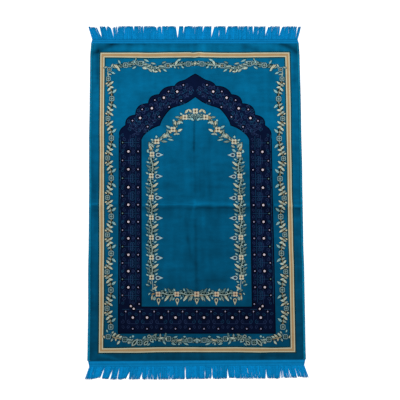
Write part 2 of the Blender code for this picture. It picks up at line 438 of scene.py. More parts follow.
def rectangle(halfX, bottom, top, pitch, whole=round):
    # points along its sides, about one pitch apart
    spots = []
    corners = [(-halfX, bottom), (halfX, bottom), (halfX, top), (-halfX, top)]
    for (x0, y0), (x1, y1) in zip(corners, corners[1:] + corners[:1]):
        steps = whole(math.hypot(x1 - x0, y1 - y0) / pitch)
        spots += [(x0 + (x1 - x0) * k / steps, y0 + (y1 - y0) * k / steps) for k in range(steps)]
    return spots


def drawFrame():
    f, band, shade = frameLine, frameLine["creamBand"], frameLine["shadeBand"]

    def wander(side, place, depth):
        outer, inner = (readRow(frameWander[side], place, column) for column in (1, 2))
        return outer + (inner - outer) * depth

    def slab(yarn, depth, grow):
        # depth 0 is the line's outer edge, 1 its inner edge
        halfX = f["outerX"] + (f["innerX"] - f["outerX"]) * depth + grow
        top = f["outerTop"] + (f["innerTop"] - f["outerTop"]) * depth + grow
        bottom = f["outerBottom"] + (f["innerBottom"] - f["outerBottom"]) * depth - grow
        outline = []
        for x, y in rectangle(halfX, bottom, top, f["pitch"], int):
            out, up = 0.0, 0.0
            if abs(x) == halfX:
                out = wander("left" if x < 0 else "right", y, depth) * (-1 if x < 0 else 1)
            if y in (bottom, top):
                up = wander("top", x, depth) if y == top else -wander("bottom", x, depth)
            outline.append((x + out, y + up))
        pattern.append((0, yarn, outline))

    slab("frame_shade", 0, shade)
    slab("frame_cream", 0, 0)
    slab("honey_gold", 0, -band)
    slab("frame_cream", 1, band)
    slab("frame_shade", 1, 0)
    slab("teal_ground", 1, -shade)


# ---- niche band
niche = {
    "outerX": 245.1, "innerX": 172.0,
    "outerFoot": -424.9, "innerFoot": -340.9,
    "outerCusps": [(243.5, 197), (224.5, 236), (193, 270.5), (152, 308), (117, 337.5), (67, 365.5)],
    "outerTip": [(60, 374.5), (49, 381), (34, 385.5), (24, 391.5), (14, 398)],
    "outerApex": (0, 406),
    "innerArch": [(172, 188), (165, 201), (150, 215.3), (131, 227.5), (112.5, 234.5)],
    "innerNeck": [
        (112.5, 234.5), (108, 248.5), (98.5, 265), (80, 287.5), (62, 295.5), (48, 300), (24, 310.3),
        (0, 327.5),
    ],
    "lobeRise": [0.18, 0.235, 0.235, 0.22, 0.165],
    "rim": 3.0,
}


def lobe(start, end, rise, steps=9):
    # round bulge between two cusps, outwards from the niche
    dx, dy = end[0] - start[0], end[1] - start[1]
    line = []
    for k in range(steps):
        t = k / steps
        lift = 4 * rise * t * (1 - t) * (1 + 0.25 * (0.5 - t))
        line.append((start[0] + dx * t + dy * lift, start[1] + dy * t - dx * lift))
    return line


def outerNiche(shrink=0.0):
    n = niche
    half = n["outerX"] - shrink
    arch = [(half + 1.2, n["outerFoot"] + shrink), (half + 0.8, -200), (half, 0), (half, 180)]
    cusps = [(x - shrink * 0.75, y - shrink * 0.75) for x, y in n["outerCusps"]]
    arch += curve([(half, 182), (half + 0.2, 191), cusps[0]], 3)[:-1]
    for start, end, rise in zip(cusps, cusps[1:], n["lobeRise"]):
        arch += lobe(start, end, rise)
    apex = (0, n["outerApex"][1] - shrink * 1.15)
    tip = [cusps[-1], *[(x, y - shrink) for x, y in n["outerTip"]], apex]
    arch += curve(tip, 4)[:-1]
    return arch + [apex] + [(-x, y) for x, y in reversed(arch)]


def innerNiche(grow=0.0):
    n = niche
    half = n["innerX"] + grow

    def shift(points):
        return [(x + grow * 0.8 if x else 0, y + grow * (0.8 if x else 1.2)) for x, y in points]

    arch = [(half, n["innerFoot"] - grow), (half, -150), (half, 50), (half, 180)]
    arch += curve(shift(n["innerArch"]), 4)[:-1]
    arch += curve(shift(n["innerNeck"]), 4)[:-1]
    apex = (0, shift([n["innerNeck"][-1]])[0][1])
    return arch + [apex] + [(-x, y) for x, y in reversed(arch)]


# pearls of the niche band, left half: x, y
pearls = {
    "archLarge": [(-58, 346), (-101, 325.8), (-139.5, 291), (-177, 259.2)],
    "archOuter": [(-38, 368), (-86, 346.3), (-130, 318), (-170.5, 287.5), (-201.5, 250.5)],
    "archInner": [(-45, 315.5), (-84, 295.5), (-116, 263.2), (-153, 230.8)],
    "sideRows": [207.5, 150, 92, 34.5, -21.5, -75, -127.5, -179, -230.5, -281],
    "sideLargeX": -214.0, "sideSmallX": -183.2, "sideDimX": -232.5,
    "footLargeY": -375, "footDimY": -356.2, "footSmallY": -409.6,
    "footPitch": 44.4,
    "corner": [(-206, -339.5, 3.2), (-197, -348, 3.2), (-180, -333, 2.4)],
    "large": 3.7, "small": 2.4, "dim": 2.1,
}

# line along the middle of the arch, left half, that its scrolls hang on
archSpine = [(-206, 216), (-190, 244), (-158, 275), (-119, 308), (-79, 335), (-40, 354), (-14, 366)]
scrollRows = [38, 23, 8, -8, -23, -38]


def isInside(x, y, outline):
    inside = False
    for (x0, y0), (x1, y1) in zip(outline, outline[1:] + outline[:1]):
        if (y0 > y) != (y1 > y) and x < x0 + (x1 - x0) * (y - y0) / (y1 - y0):
            inside = not inside
    return inside


def drawArchScrolls(flip):
    spine = curve(archSpine, 3)
    outer, inner = outerNiche(8), innerNiche(8)
    for k in range(1, len(spine) - 1):
        (x0, y0), (x, y), (x1, y1) = spine[k - 1:k + 2]
        lean = math.atan2(y1 - y0, x1 - x0)
        for row, across in enumerate(scrollRows):
            along = 4.5 if row % 2 else -4.5
            spotX = x + along * math.cos(lean) - across * math.sin(lean)
            spotY = y + along * math.sin(lean) + across * math.cos(lean)
            if not isInside(spotX, spotY, outer) or isInside(spotX, spotY, inner):
                continue
            hand = 1 if (k + row) % 2 else -1
            turn = math.degrees(lean) + 90 * row + 40 * k
            yarn = blue if (k + row) % 3 else teal
            drawCurl(spotX, spotY, 6.4, 1.3, turn, hand, yarn, 1.3, flip)
            pen = penAt(spotX, spotY, turn + 60, flip=flip)
            pen(6, teal if row % 2 else blue, leafShape(10.0, 2.2), 5.0, 2.0, 25 * hand)


# figures between the side pearls, left half: x, height over the middle, then the bar or curl itself
sideBars = [
    (-213, 0, 1.1, 20, blue), (-207, 0, 1.1, 20, teal), (-201, 0, 1.1, 20, blue),
    (-219.5, 0, 20, 0.9, blue), (-239, 0, 0.9, 17, teal), (-206, 0, 52, 1.0, teal),
]
sideUprights = [(-190.5, 12, 1.0, 20, teal), (-208.5, 15, 1.0, 20, blue), (-241, 14, 1.0, 24, teal)]
sideCurls = [
    (-226, 11, 6.5, 1.2, (90, -90), 1, blue, 1.3), (-200, 8, 7.0, 1.3, (180, 180), -1, teal, 1.3),
    (-181, 11, 5.5, 1.1, (-90, 90), -1, blue, 1.2), (-199, 23, 5.5, 1.2, (0, 0), 1, blue, 1.2),
    (-232, 24, 5.0, 1.1, (60, 60), 1, teal, 1.2),
]
# curls between the foot's pearls: the same, with the yarns of an even and an odd one
footCurls = [
    (10, -388, 6.5, 1.3, 90, 1, (teal, blue), 1.2), (9, -404, 5.5, 1.2, -90, -1, (blue, blue), 1.1),
    (12, -364, 5.5, 1.2, 0, 1, (teal, teal), 1.1),
]


def drawBars(pen, bars, y, hand=1):
    for x, up, length, width, yarn in bars:
        pen(6, yarn, barShape(length, width), x, y + up * hand)


def drawNiche():
    pattern.append((0, "deep_navy", outerNiche()))
    pattern.append((0, "night_navy", outerNiche(niche["rim"])))
    pattern.append((0, "deep_navy", innerNiche(niche["rim"])))
    pattern.append((0, "teal_ground", innerNiche()))
    p = pearls
    for flip in (1, -1):
        for x, y in p["archLarge"]:
            drawPearl(x, y, p["large"], "pearl", flip)
        for x, y in p["archOuter"] + p["archInner"]:
            drawPearl(x, y, p["small"], "pearl_dim", flip)
        rows = p["sideRows"]
        for k, y in enumerate(rows):
            if k:
                drawPearl(p["sideLargeX"], y, p["large"], "pearl", flip)
                drawPearl(p["sideSmallX"], y, p["small"], "pearl_dim", flip)
            between = (y + rows[k + 1]) / 2 if k + 1 < len(rows) else y - 25
            drawPearl(p["sideDimX"], between, p["dim"], "pearl_dim" if k % 2 else dusk, flip)
            pen = penAt(0, 0, flip=flip)
            pen(5, "navy_haze", barShape(15, 24), -207, between)
            drawBars(pen, sideBars, between)
            for hand in (1, -1):
                for x, up, radius, turns, starts, way, yarn, width in sideCurls:
                    turned = starts[hand < 0]
                    drawCurl(x, between + up * hand, radius, turns, turned, way * hand, yarn, width, flip)
                drawBars(pen, sideUprights, between, hand)
        for x, y, radius in p["corner"]:
            drawPearl(x, y, radius, "pearl" if radius > 3 else "pearl_dim", flip)
        drawArchScrolls(flip)
    half = p["footPitch"] / 2
    for k in range(-5, 6):
        x = k * p["footPitch"]
        if abs(x) < 240:
            drawPearl(x, p["footDimY"], p["dim"], "pearl_dim", tall=1.25)
            pen = penAt(x, p["footDimY"])
            pen(6, blue, barShape(0.9, 24), 0, -15)
            pen(6, teal, barShape(22, 0.9), 0, 6.5)
        if abs(x) > 230:
            continue
        for hand in (1, -1):
            for out, y, radius, turns, start, way, yarns, width in footCurls:
                drawCurl(x + out * hand, y, radius, turns, start, way * hand, yarns[k % 2], width)
    for k in range(-5, 5):
        x = k * p["footPitch"] + half
        drawPearl(x, p["footLargeY"], p["large"], "pearl")
        drawPearl(x, p["footSmallY"], p["small"], "pearl_dim")
        penAt(x, -394)(6, blue, barShape(30, 0.9))


# ---- inner vine
innerVine = {
    "sideX": -141.2,
    "firstX": -138.8,
    "sideRows": [141.0, 71.6, 2.6, -61.8, -124.8, -187.6, -250],
    "footX": [-121, -62.6],
    "footY": -302.5,
    "backing": 14.0,  # width of the dark ground under the leaves
    "upperStretch": 1.10,
    "archFlowers": [(-33.4, 261.9), (-71.8, 221.7), (-123.4, 182.4)],
    "apexFlower": (0, 282),
    "archLine": [
        (-139, 150), (-141, 168), (-123, 183), (-98, 202), (-72, 222), (-57, 244), (-34, 262), (-14, 268),
        (0, 266),
    ],
}

# leaves round each flower: yarn, a, b, turn, length, width
innerSprig = [
    (sky, 10, -7, -34, 11.5, 5.6), (sky, 8, 16.5, -29, 10, 5.2), (sky, -9, -5, -148, 10, 5.4),
    (dusk, -8.5, 7.5, 107, 10.5, 5), (pale, -6, 10.5, 66, 12, 3.6), (sky, -8.5, 25, 200, 10.5, 5.4),
]
# leaves on the stem that runs on to the next flower
innerStem = [
    (cream, 3.5, 33, -31, 18, 7.6), (frost, 10.5, 28, -33, 14, 6), (dim, 4.5, 45.5, -27, 20.5, 6.2),
    (dusk, -5, 41, 219, 18, 5.6), (dim, -5, 50, 262, 19, 3.4), (dusk, -6, 51, 227, 12, 4.6),
]
innerStemLine = [(0.5, 26), (2.2, 36), (1.2, 48), (-0.5, 56)]
fillerYarns = (dusk, dim, pale)
fillerWidth = 2.8

# in the runs below a row is x, y, to x, to y, width, yarn, and one that isn't a leaf begins with its kind
# leaves where the side run turns into the foot
footCorner = [
    (-131, -300, -142.5, -303.3, 5, tan), (-134, -295, -146, -288, 4.4, dusk),
    (-130, -309, -138, -321, 4.8, pale), (-139, -305, -141, -321, 5, cream),
    (-145, -298, -152, -305, 3.8, sky), (-2.5, -311, -11.5, -320.5, 4.6, dusk),
    (-13, -306, -19.5, -324, 5, pale), (-9, -305, -20.5, -309, 5, tan), (-8, -297, -19, -290.5, 4.2, dusk),
]


def drawInnerUnit(x, y, angle, hand, flip, stretch=1.0, last=False, foot=False):
    # a: towards the bud, b: on towards the next flower
    pen = penAt(x, y, angle, hand, flip, stretch)
    if foot:
        drawFullFlower(pen, 0.90, "rose_ivory", "brick_heart")
        drawBud(pen, 12.0, 1.6, 0, 22.0, 11.0, cream)
    else:
        drawFullFlower(pen, 0.90)
        drawBud(pen, 12.0, 1.6, 0)
    for row in innerSprig:
        drawLeaf(pen, *row)
    if last:
        return
    line = [(-3.0, 8), (-3.0, 16), *((a, b * stretch) for a, b in innerStemLine)]
    straight = penAt(x, y, angle, hand, flip)
    straight(1, dark, strokeShape(curve(line, 4), innerVine["backing"]))
    for k in range(6):
        for side in (1, -1):
            turn = 90 + side * (58 + 17 * ((2 * k + side) % 3))
            shape = leafShape(9.0 + 1.5 * (k % 2), fillerWidth)
            straight(1, fillerYarns[(k + side) % 3], shape, 0, 13 + 8 * k + 2 * side, turn)
    straight(2, pale, strokeShape(curve(line, 4), 2.3))
    for row in innerStem:
        drawLeaf(pen, *row)


# arch run of the inner vine, left half
archRun = [
    (-11.5, 277.5, -21.5, 288.5, 7, cream), (-33.5, 274.5, -21.5, 288.5, 7, cream),
    (-50.5, 256.5, -40.5, 265.5, 9, tan), (-49.5, 261.5, -65.5, 262.5, 6.4, dim),
    (-41.5, 268.5, -49.5, 276.5, 6, sky), ("dot", -69.5, 251.5, 0, 0, 3.4, sky),
    (-26.5, 259.5, -15, 254.5, 5.4, pale), (-23.5, 273, -15.5, 268.5, 5, dusk),
    (-16.5, 260.5, -4.5, 250.5, 7, sky), (-3, 268, -3, 252, 4.4, dusk),
    (-49.5, 250.5, -59.5, 237.5, 6, pale), (-45, 251, -53, 238, 5, pale),
    (-56.5, 248.5, -45.5, 243.5, 5.2, cream), (-64.5, 250.5, -64.5, 235.5, 6.6, cream),
    (-68.5, 249.5, -70.5, 236.5, 5, dusk), (-47.5, 247.5, -39.5, 241.5, 5.4, sky),
    (-79.5, 225.5, -94.5, 234.5, 7, sky), (-63.5, 222.5, -60, 209.5, 5.2, tan),
    (-57.5, 215.5, -41.5, 223.5, 7.4, frost), (-65.5, 208.5, -49.5, 206.5, 5.6, pale),
    (-60, 227.5, -60, 235.5, 5.2, dusk), (-60, 210.5, -70, 203.5, 5.6, pale),
    (-87, 214.5, -93, 222.5, 5.2, dusk), (-86, 219.5, -78, 208.5, 5.4, cream),
    (-106.5, 197.5, -96.5, 209.5, 5.6, pale), (-102.5, 193.5, -91.5, 207.5, 5.6, cream),
    (-96.5, 193.5, -84.5, 209.5, 5.6, pale), (-91.5, 205.5, -89.5, 215.5, 5.2, dim),
    (-86.5, 202.5, -81.5, 194.5, 5.2, pale), (-109.5, 183.5, -89.5, 181.5, 6.2, dim),
    (-89.5, 190.5, -69.5, 186.5, 5.6, sky), (-86, 196.5, -73.5, 196.5, 4.4, dusk),
    (-113, 186.5, -106.5, 193.5, 5, pale), (-124.9, 193.5, -124.9, 202.5, 7, sky),
    (-133.5, 185.5, -144, 190, 5.6, sky), (-134, 178.5, -140, 181.5, 5.6, pale),
    (-145, 180.5, -150.5, 175.5, 5.4, dusk), (-143.5, 177, -132.5, 161.5, 6.2, pale),
    (-149.5, 170.5, -138, 155, 6.6, cream), (-148, 162, -141.5, 152.5, 5.4, tan),
    ("dot", -146.5, 172.5, 0, 0, 3.6, pale), (-126.5, 163.5, -113.5, 170.5, 6.2, pale),
    (-116.5, 158.5, -129.5, 149.5, 7, sky), (-149.5, 156.5, -154.5, 151, 5.8, sky),
]


def placeRows(rows, flip):
    pen = penAt(0, 0, flip=flip)
    for *kinds, x, y, toX, toY, width, yarn in rows:
        kind = kinds[0] if kinds else "leaf"
        if kind == "flower":
            drawOpenFlower(penAt(x, y, flip=flip), width, yarn)
        elif kind == "stem":
            pen(2, yarn, strokeShape([(x, y), (toX, toY)], width))
        elif kind in ("dot", "ring"):
            pen(1, dark, roundShape(width + 1.3, 10), x, y)
            pen(2, yarn, roundShape(width, 10), x, y)
            if kind == "ring":
                pen(3, dark, roundShape(width * 0.55, 8), x, y)
        else:
            drawBlade(pen, yarn, x, y, toX, toY, width, kind == "open")


def drawSprigs(points, flip, width=15.0):
    # small dim leaves that fill a run between its flowers
    pen = penAt(0, 0, flip=flip)
    line = curve(points, 4)
    pen(1, dark, strokeShape(line, width))
    for k, ((x, y), (nextX, nextY)) in enumerate(zip(line, line[1:])):
        lean = math.degrees(math.atan2(nextY - y, nextX - x))
        for side in (1, -1):
            turn = lean + side * (36 + 22 * (k % 2))
            pen(1, fillerYarns[(k + side) % 3], leafShape(0.7 * width, fillerWidth), x, y, turn)
            pen(1, dusk, leafShape(0.5 * width, 2.4), x, y, lean + 180 + side * 50)


def drawInnerVine():
    v = innerVine
    for flip in (1, -1):
        for k, y in enumerate(v["sideRows"]):
            stretch = v["upperStretch"] if y > 20 else 1.0
            x = v["sideX"] if k else v["firstX"]
            drawInnerUnit(x, y, 0, -1, flip, stretch, k == len(v["sideRows"]) - 1)
        # the last side flower runs into the corner
        pen = penAt(v["sideX"], v["sideRows"][-1], 0, -1, flip)
        drawLeaf(pen, "ivory", 4.0, 38.0, -36, 17.5, 6.6)
        pen(2, pale, strokeShape(curve([(1, 7), (3, 18), (3.6, 30), (2, 42)], 4), 2.0))
        drawLeaf(pen, dusk, -5.0, 26.0, 190, 10.0, 4.4)
        drawLeaf(pen, pale, 6.0, 22.0, 20, 9.0, 4.0)
        for x in v["footX"]:
            drawInnerUnit(x, v["footY"], -90, 1, flip, foot=True)
        placeRows(footCorner, flip)
        drawSprigs(v["archLine"], flip, 12.0)
        for x, y in v["archFlowers"]:
            drawFullFlower(penAt(x, y, flip=flip), 0.97)
        placeRows(archRun, flip)
    drawFullFlower(penAt(*v["apexFlower"]))
    drawFullFlower(penAt(0, v["footY"]), 0.96, "rose_ivory", "brick_heart")
    drawBud(penAt(0, v["footY"], -90), 12.0, 0, 0, 20.0, 12.0, cream)


# ---- outer vine
outerVine = {
    "rowsA": [322.5, 193.2, 63.8, -58.3, -174.5, -289.1, -404],
    "rowsB": [388.2, 257.9, 128.5, 1.2, -116.3, -232.5, -346.4],
    "xA": -268.4,
    "xB": -280.2,
    "sprayPitch": 65.5,
    "stem": [(0, 9), (-1.5, 22), (-4.5, 34), (-7.5, 46), (-11, 58)],
}

# spray between flower A (0, 0) and flower B 65.5 further on, left side: x, y, to x, to y, width, yarn
outerSpray = [
    (0.5, 9, -1, 15, 3.6, tan), (-11.5, 15, 1.5, 24, 5.6, pale), (2.5, 18, 15.5, 31, 7, sky),
    (-14.5, 24.5, -3.5, 37.5, 6.6, frost), (-8, 38.5, 6.5, 37, 7, frost), (-17, 40.5, -5, 49.5, 6, pale),
    (-8, 46.5, 5.5, 56.5, 6.4, cream), (-2, 51, 5.5, 57, 5, frost), (-20.5, 47.5, -13.5, 52.5, 5, cream),
]

topRun = [
    ("flower", -277, 419.2, 0, 0, 0.88, tan), ("flower", -224.3, 433.3, 0, 0, 1.02, pale),
    ("flower", -175.5, 438.5, 0, 0, 1.04, moss), ("flower", -88, 431.7, 0, 0, 1, tan),
    ("flower", -22.3, 437, 0, 0, 0.98, dusk), (-271.5, 411, -257.5, 404, 5.8, sky),
    (-271.5, 426, -264.5, 438, 5.4, pale), (-262.5, 435, -243.5, 421, 8, cream),
    (-250.5, 422, -241.5, 414, 5.6, frost), (-248.5, 450, -240.5, 437, 5.6, sky),
    (-296.5, 423.5, -283.5, 428, 4.8, pale), (-283, 413, -279.5, 394, 4.8, pale),
    (-279.5, 404, -269.5, 402, 4.4, pale), (-218.5, 435, -203.5, 436, 5.2, dim),
    (-215.5, 429, -203.5, 429, 4.4, dusk), (-198, 439, -193, 451, 5.2, sky),
    (-192.5, 449, -190, 458, 4.4, dim), ("open", -201.5, 434, -190.5, 442, 7.6, pale),
    (-202.5, 421.5, -189.5, 429.5, 5.6, sky), (-170.5, 439, -164, 447, 5, pale),
    (-167.5, 434.5, -153.5, 438, 5.2, pale), (-165.5, 452.5, -148.5, 444.5, 5.8, sky),
    (-170.5, 425.5, -155.5, 420.5, 6.2, frost), ("stem", -165.5, 428, -139.5, 416, 2.6, pale),
    (-155.5, 426.5, -141.5, 435.5, 5.2, pale), (-143, 420, -138, 431, 4.8, pale),
    (-143.5, 440.5, -126.5, 437, 5.2, pale), (-150.5, 420, -138.5, 410.5, 5.4, pale),
    (-137, 421, -133, 410, 5.4, frost), (-132.5, 411.5, -119.5, 413, 5.6, frost),
    (-118, 421, -111, 410, 5.6, cream), ("dot", -124.5, 424, 0, 0, 3, pale),
    ("dot", -119, 425, 0, 0, 2.6, pale), ("dot", -130.5, 422, 0, 0, 2.4, dusk),
    (-119.5, 430.5, -97.5, 428.5, 6.4, pale), (-104.5, 421.5, -91, 411.5, 5.8, sky),
    (-107.5, 439.5, -93.5, 445, 4.8, dim), (-82, 435, -75.5, 425, 4.2, frost),
    ("stem", -79.5, 432, -42.5, 435, 2.8, pale), (-64, 434, -56.5, 450, 6.8, frost),
    (-59.5, 446.5, -45, 454, 6.6, sky), (-68, 430.5, -63, 422.5, 5.2, sky),
    (-44.5, 429.5, -35.5, 423.5, 5.2, sky), (-13.5, 437, -4.5, 438, 4.6, pale),
    (-56.5, 427.5, -51.5, 421.5, 4.6, dusk), ("dot", 0.5, 440, 0, 0, 3.4, cream),
]

bottomRun = [
    ("flower", -276, -434, 0, 0, 0.9, moss), ("flower", -224.3, -442.4, 0, 0, 1, moss),
    ("flower", -178.3, -451.5, 0, 0, 1.06, moss), ("flower", -88.5, -440.5, 0, 0, 0.96, moss),
    ("flower", -22, -444.5, 0, 0, 0.94, moss), (-281.5, -412, -277.5, -421, 4.8, sky),
    (-291.5, -430, -286.5, -439, 5.2, cream), (-265, -424, -259, -417, 5.2, pale),
    (-262, -432, -252, -422, 5.8, frost), (-252, -436, -240, -426.5, 5.8, cream),
    (-243, -436.5, -232, -432.5, 5.6, frost), (-261.5, -439, -267.5, -449, 5.2, pale),
    (-253, -435, -252, -448, 5.2, cream), (-239.5, -446, -248.5, -458, 6.2, frost),
    ("stem", -263, -433, -255, -438, 3, tan), ("stem", -255, -438, -246, -439, 3, tan),
    ("stem", -246, -439, -236, -441, 3, tan), ("dot", -207, -436, 0, 0, 2.6, sky),
    ("dot", -199, -433, 0, 0, 3.4, sky), ("stem", -216, -443, -205, -443, 2.8, pale),
    ("dot", -212, -452, 0, 0, 3.8, pale), ("open", -203, -463, -184, -440, 12, pale),
    ("stem", -197, -448, -189, -456, 2.2, pale), ("open", -165, -460, -151, -446, 11, pale),
    (-155, -461.5, -145.5, -454, 4.8, sky), (-168.5, -441, -159.5, -432, 5.6, sky),
    ("ring", -149, -433, 0, 0, 5.6, pale), ("ring", -141, -445, 0, 0, 5.8, pale),
    ("ring", -133, -434, 0, 0, 5.4, dim), ("dot", -137, -449.5, 0, 0, 2.8, sky),
    (-135.5, -430.5, -124, -425.5, 5.2, dim), (-114, -436.5, -114, -424.5, 4.8, pale),
    (-120, -440.5, -103, -436.5, 5.8, frost), ("dot", -118, -446, 0, 0, 2.6, sky),
    (-106.5, -446.5, -96.5, -458, 5.6, sky), (-97.5, -436, -94.5, -446, 4.6, frost),
    ("dot", -98.5, -431, 0, 0, 3.2, dusk), ("dot", -97, -425.5, 0, 0, 2.6, dusk),
    (-73, -437.5, -60, -432.5, 5.6, sky), ("ring", -74.5, -448, 0, 0, 4.4, pale),
    ("ring", -67, -448, 0, 0, 4.4, dim), (-80, -454.5, -65, -458.5, 5.2, sky),
    ("dot", -56, -457, 0, 0, 2.8, sky), (-63, -446.5, -44, -443, 5.6, cream),
    (-43, -434, -34, -434, 5.2, sky), ("dot", -47, -440, 0, 0, 2.6, dusk),
    (-42, -453, -25.5, -459.5, 5.4, sky), ("stem", -11, -446, 0, -443, 2.8, pale),
    ("dot", 0, -449.5, 0, 0, 4.6, "ring_blue"),
]


# the lines that the two end runs follow, left half
topLine = [
    (-265, 428), (-224, 433), (-196, 441), (-175, 438), (-150, 429), (-125, 423), (-105, 428), (-88, 431),
    (-55, 437), (-22, 437), (0, 440),
]
bottomLine = [
    (-265, -430), (-224, -441), (-200, -449), (-178, -451), (-155, -444), (-138, -438), (-110, -441),
    (-88, -441), (-60, -448), (-40, -446), (-22, -445), (0, -446),
]


def drawOuterVine():
    v = outerVine
    for flip in (1, -1):
        for y in v["rowsA"]:
            drawOpenFlower(penAt(v["xA"], y, flip=flip))
        for y in v["rowsB"]:
            drawOpenFlower(penAt(v["xB"], y, flip=flip), 0.90)
        flowers = sorted([(y, 0) for y in v["rowsA"]] + [(y, 1) for y in v["rowsB"]])
        for (yLow, lowB), (yHigh, _) in zip(flowers, flowers[1:]):
            yA, yB = (yHigh, yLow) if lowB else (yLow, yHigh)
            hand = 1 if yB > yA else -1
            pen = penAt(v["xA"], yA, 0, hand, flip)
            step = abs(yB - yA) / v["sprayPitch"]
            for x, y, toX, toY, width, yarn in outerSpray:
                drawBlade(pen, yarn, x, y * step, toX, toY * step, width)
            line = [(x, y * step) for x, y in curve(v["stem"], 4)]
            pen(1, dark, strokeShape(line, 13.0))
            pen(2, tan, strokeShape(line, 1.4))
        drawSprigs(topLine, flip)
        drawSprigs(bottomLine, flip)
        placeRows(topRun, flip)
        placeRows(bottomRun, flip)


# ---- pile panel
pilePanel = {
    "thickness": 0.0035,
    "edgeRoll": 0.0008,
    "rim": 0.004,
    "gridPitch": 6.0,  # mm between the surface's own points
    "rimSteps": (0.5, 1.2, 2.4, 4.0),
    "fold": -24,  # y of the fold across the middle, where the points lie closer
    "foldPitch": 1.5,
    "crushed": 0.00016,
    "creaseHeight": 0.0011,
    "creaseSway": 2.6,
}

# painted shade along the rug, darker towards the bottom, where the pile's nap lies differently: y in mm,
# shade
paintedShadeRun = [
    (506, 0.98), (260, 1), (215, 0.88), (150, 0.78), (20, 0.7), (-14, 0.69), (-32, 0.6), (-62, 0.64),
    (-112, 0.64), (-200, 0.59), (-285, 0.53), (-350, 0.46), (-506, 0.41),
]

# lines of painted light and shade along folds and streaks in the pile, which also raise its folds: x, y, x,
# y, half width, strength, all mm
creaseAndShadeLines = [
    # the fold across the middle, painted light above and painted shade below
    (-172, -22.5, 4, -21, 3, 0.5), (-100, -14, 6, -14.5, 2.2, 0.15), (-172, -34, -2, -33.5, 5, -0.2),
    (12, -17.5, 120, -20, 6.5, 0.5), (120, -20, 245, -21, 4, 0.32), (14, -29.5, 332, -32, 5, -0.42),
    (30, -43, 332, -46, 10, -0.2), (-300, -15, -245, -15, 3, 0.25), (245, -20, 300, -21, 4, 0.3),
    (-340, -20, -305, -20, 4.5, 0.75), (-340, -10, -305, -10, 3, 0.3), (-340, -40, -305, -40, 6, -0.12),
    (305, -24, 340, -24, 4, 0.75), (305, -7, 340, -7, 3, 0.25), (-3, -14, -13, -58, 4, 0.3),
    (22, -48, 22, -82, 6, 0.3),
    # the fold along it
    (-4, 262, -5, 160, 3.4, -0.4), (-5, 160, -2, 20, 3, -0.14), (-15.5, 155, -16, 10, 2, -0.1),
    (13, 122, 12.6, 26, 2, -0.1), (26, 106, 28, 10, 2, -0.08), (-24.5, 252, -25.5, 42, 14, 0.08),
    (-2, -78, -2, -290, 6, -0.32), (-33, -59, -26, -133, 4.5, -0.2), (-26, -133, -18, -184, 4.5, -0.2),
    # fainter ones across the field
    (-120, 39, 150, 37, 6, -0.1), (-130, 50, 130, 49, 6, 0.07), (-115, 124, -50, 121, 5, -0.08),
    (-150, 296, -210, 300, 9, 0.07), (130, 296, 240, 292, 5, -0.1), (120, 306, 240, 303, 7, 0.09),
    (-240, 338, -60, 345, 12, -0.06), (60, 338, 240, 345, 10, -0.05), (-110, -133, -16, -132, 4, -0.1),
    (27, -132, 70, -132, 4, -0.1), (11, -258, 105, -258.5, 4, -0.12), (-110, -214, 110, -216, 7, 0.08),
    (-110, -228, 0, -229, 6, -0.07), (-100, 150, 110, 148, 8, -0.05), (-90, 95, 100, 92, 9, 0.05),
    # top border
    (-262, 505, -326, 476, 10, -0.62), (-285, 503, -170, 503, 4, -0.36), (-170, 502, 260, 502, 3, -0.12),
    (-316, 478, -318, 380, 5, -0.24), (-149, 508, -149, 482, 5, -0.2), (1, 505, 1, 480, 8, -0.25),
    (27, 505, 27, 480, 13, 0.3), (200, 500, 236, 499, 7, 0.35), (165, 496, 204, 480, 6, -0.2),
    (286, 504, 326, 482, 9, -0.55), (322, 470, 324, 380, 5, -0.16), (-60, 488, -40, 486, 9, 0.12),
    # bottom border
    (-300, -487, -255, -501, 5, 0.55), (-245, -498, -190, -499, 6, 0.12), (200, -495, 322, -494, 7, -0.2),
    (12, -487, 12, -504, 10, -0.3), (40, -487, 40, -504, 13, 0.18), (-60, -491, -10, -493, 8, 0.08),
    (-322, -350, -322, -480, 6, -0.12), (-180, -500, 200, -500, 3, -0.08),
    # side borders
    (-321, -300, -323, -420, 4, 0.14), (-318, 290, -318, 60, 6, 0.06), (-314, 470, -314, 380, 4, -0.2),
    (314, 200, 314, 40, 4, 0.1), (318, -60, 320, -330, 4, -0.1),
]

# painted light and shade patches on the pile: x, y, reach across, reach along, strength
paintedShadeSpots = [
    (-214, 350, 60, 40, 0.1), (205, 345, 60, 45, 0.08), (-305, 503, 16, 9, -0.12), (-70, 160, 60, 60, 0.05),
    (80, 60, 50, 60, -0.04), (-72, -100, 40, 50, 0.06), (52, 178, 30, 22, -0.16), (35, 185, 40, 50, -0.08),
    (-13, 60, 14, 20, 0.1), (-6, -10, 7, 6, 0.35), (-25, 4, 22, 9, -0.2), (-66, -163, 36, 20, 0.15),
    (85, -150, 35, 35, -0.16), (30, -230, 20, 25, 0.12), (80, -265, 35, 20, -0.12),
    (-180, 492, 22, 12, 0.1), (85, 492, 38, 12, -0.08), (250, 490, 28, 10, 0.15),
    (-235, -494, 16, 8, -0.15), (152, -494, 26, 10, -0.15), (-318, -60, 10, 60, -0.05),
    (318, 120, 10, 80, 0.04), (-95, -250, 30, 40, -0.04), (-260, 350, 8, 60, 0.03),
]

# uneven brushing: strength, wavelengths across and along, seed, whether it is a streak
napNoise = [
    (0.15, 70, 9.5, 1.7, True), (0.17, 13, 95, 6.1, True),
    (0.19, 60, 60, 9.4, False), (0.16, 24, 28, 4.8, False),
]


def alongLine(x, y, x0, y0, x1, y1):
    # distance from the line, and how far past its ends
    dx, dy = x1 - x0, y1 - y0
    size = math.hypot(dx, dy)
    t = ((x - x0) * dx + (y - y0) * dy) / size
    off = ((x - x0) * dy - (y - y0) * dx) / size
    past = max(0.0, -t, t - size)
    return off, past
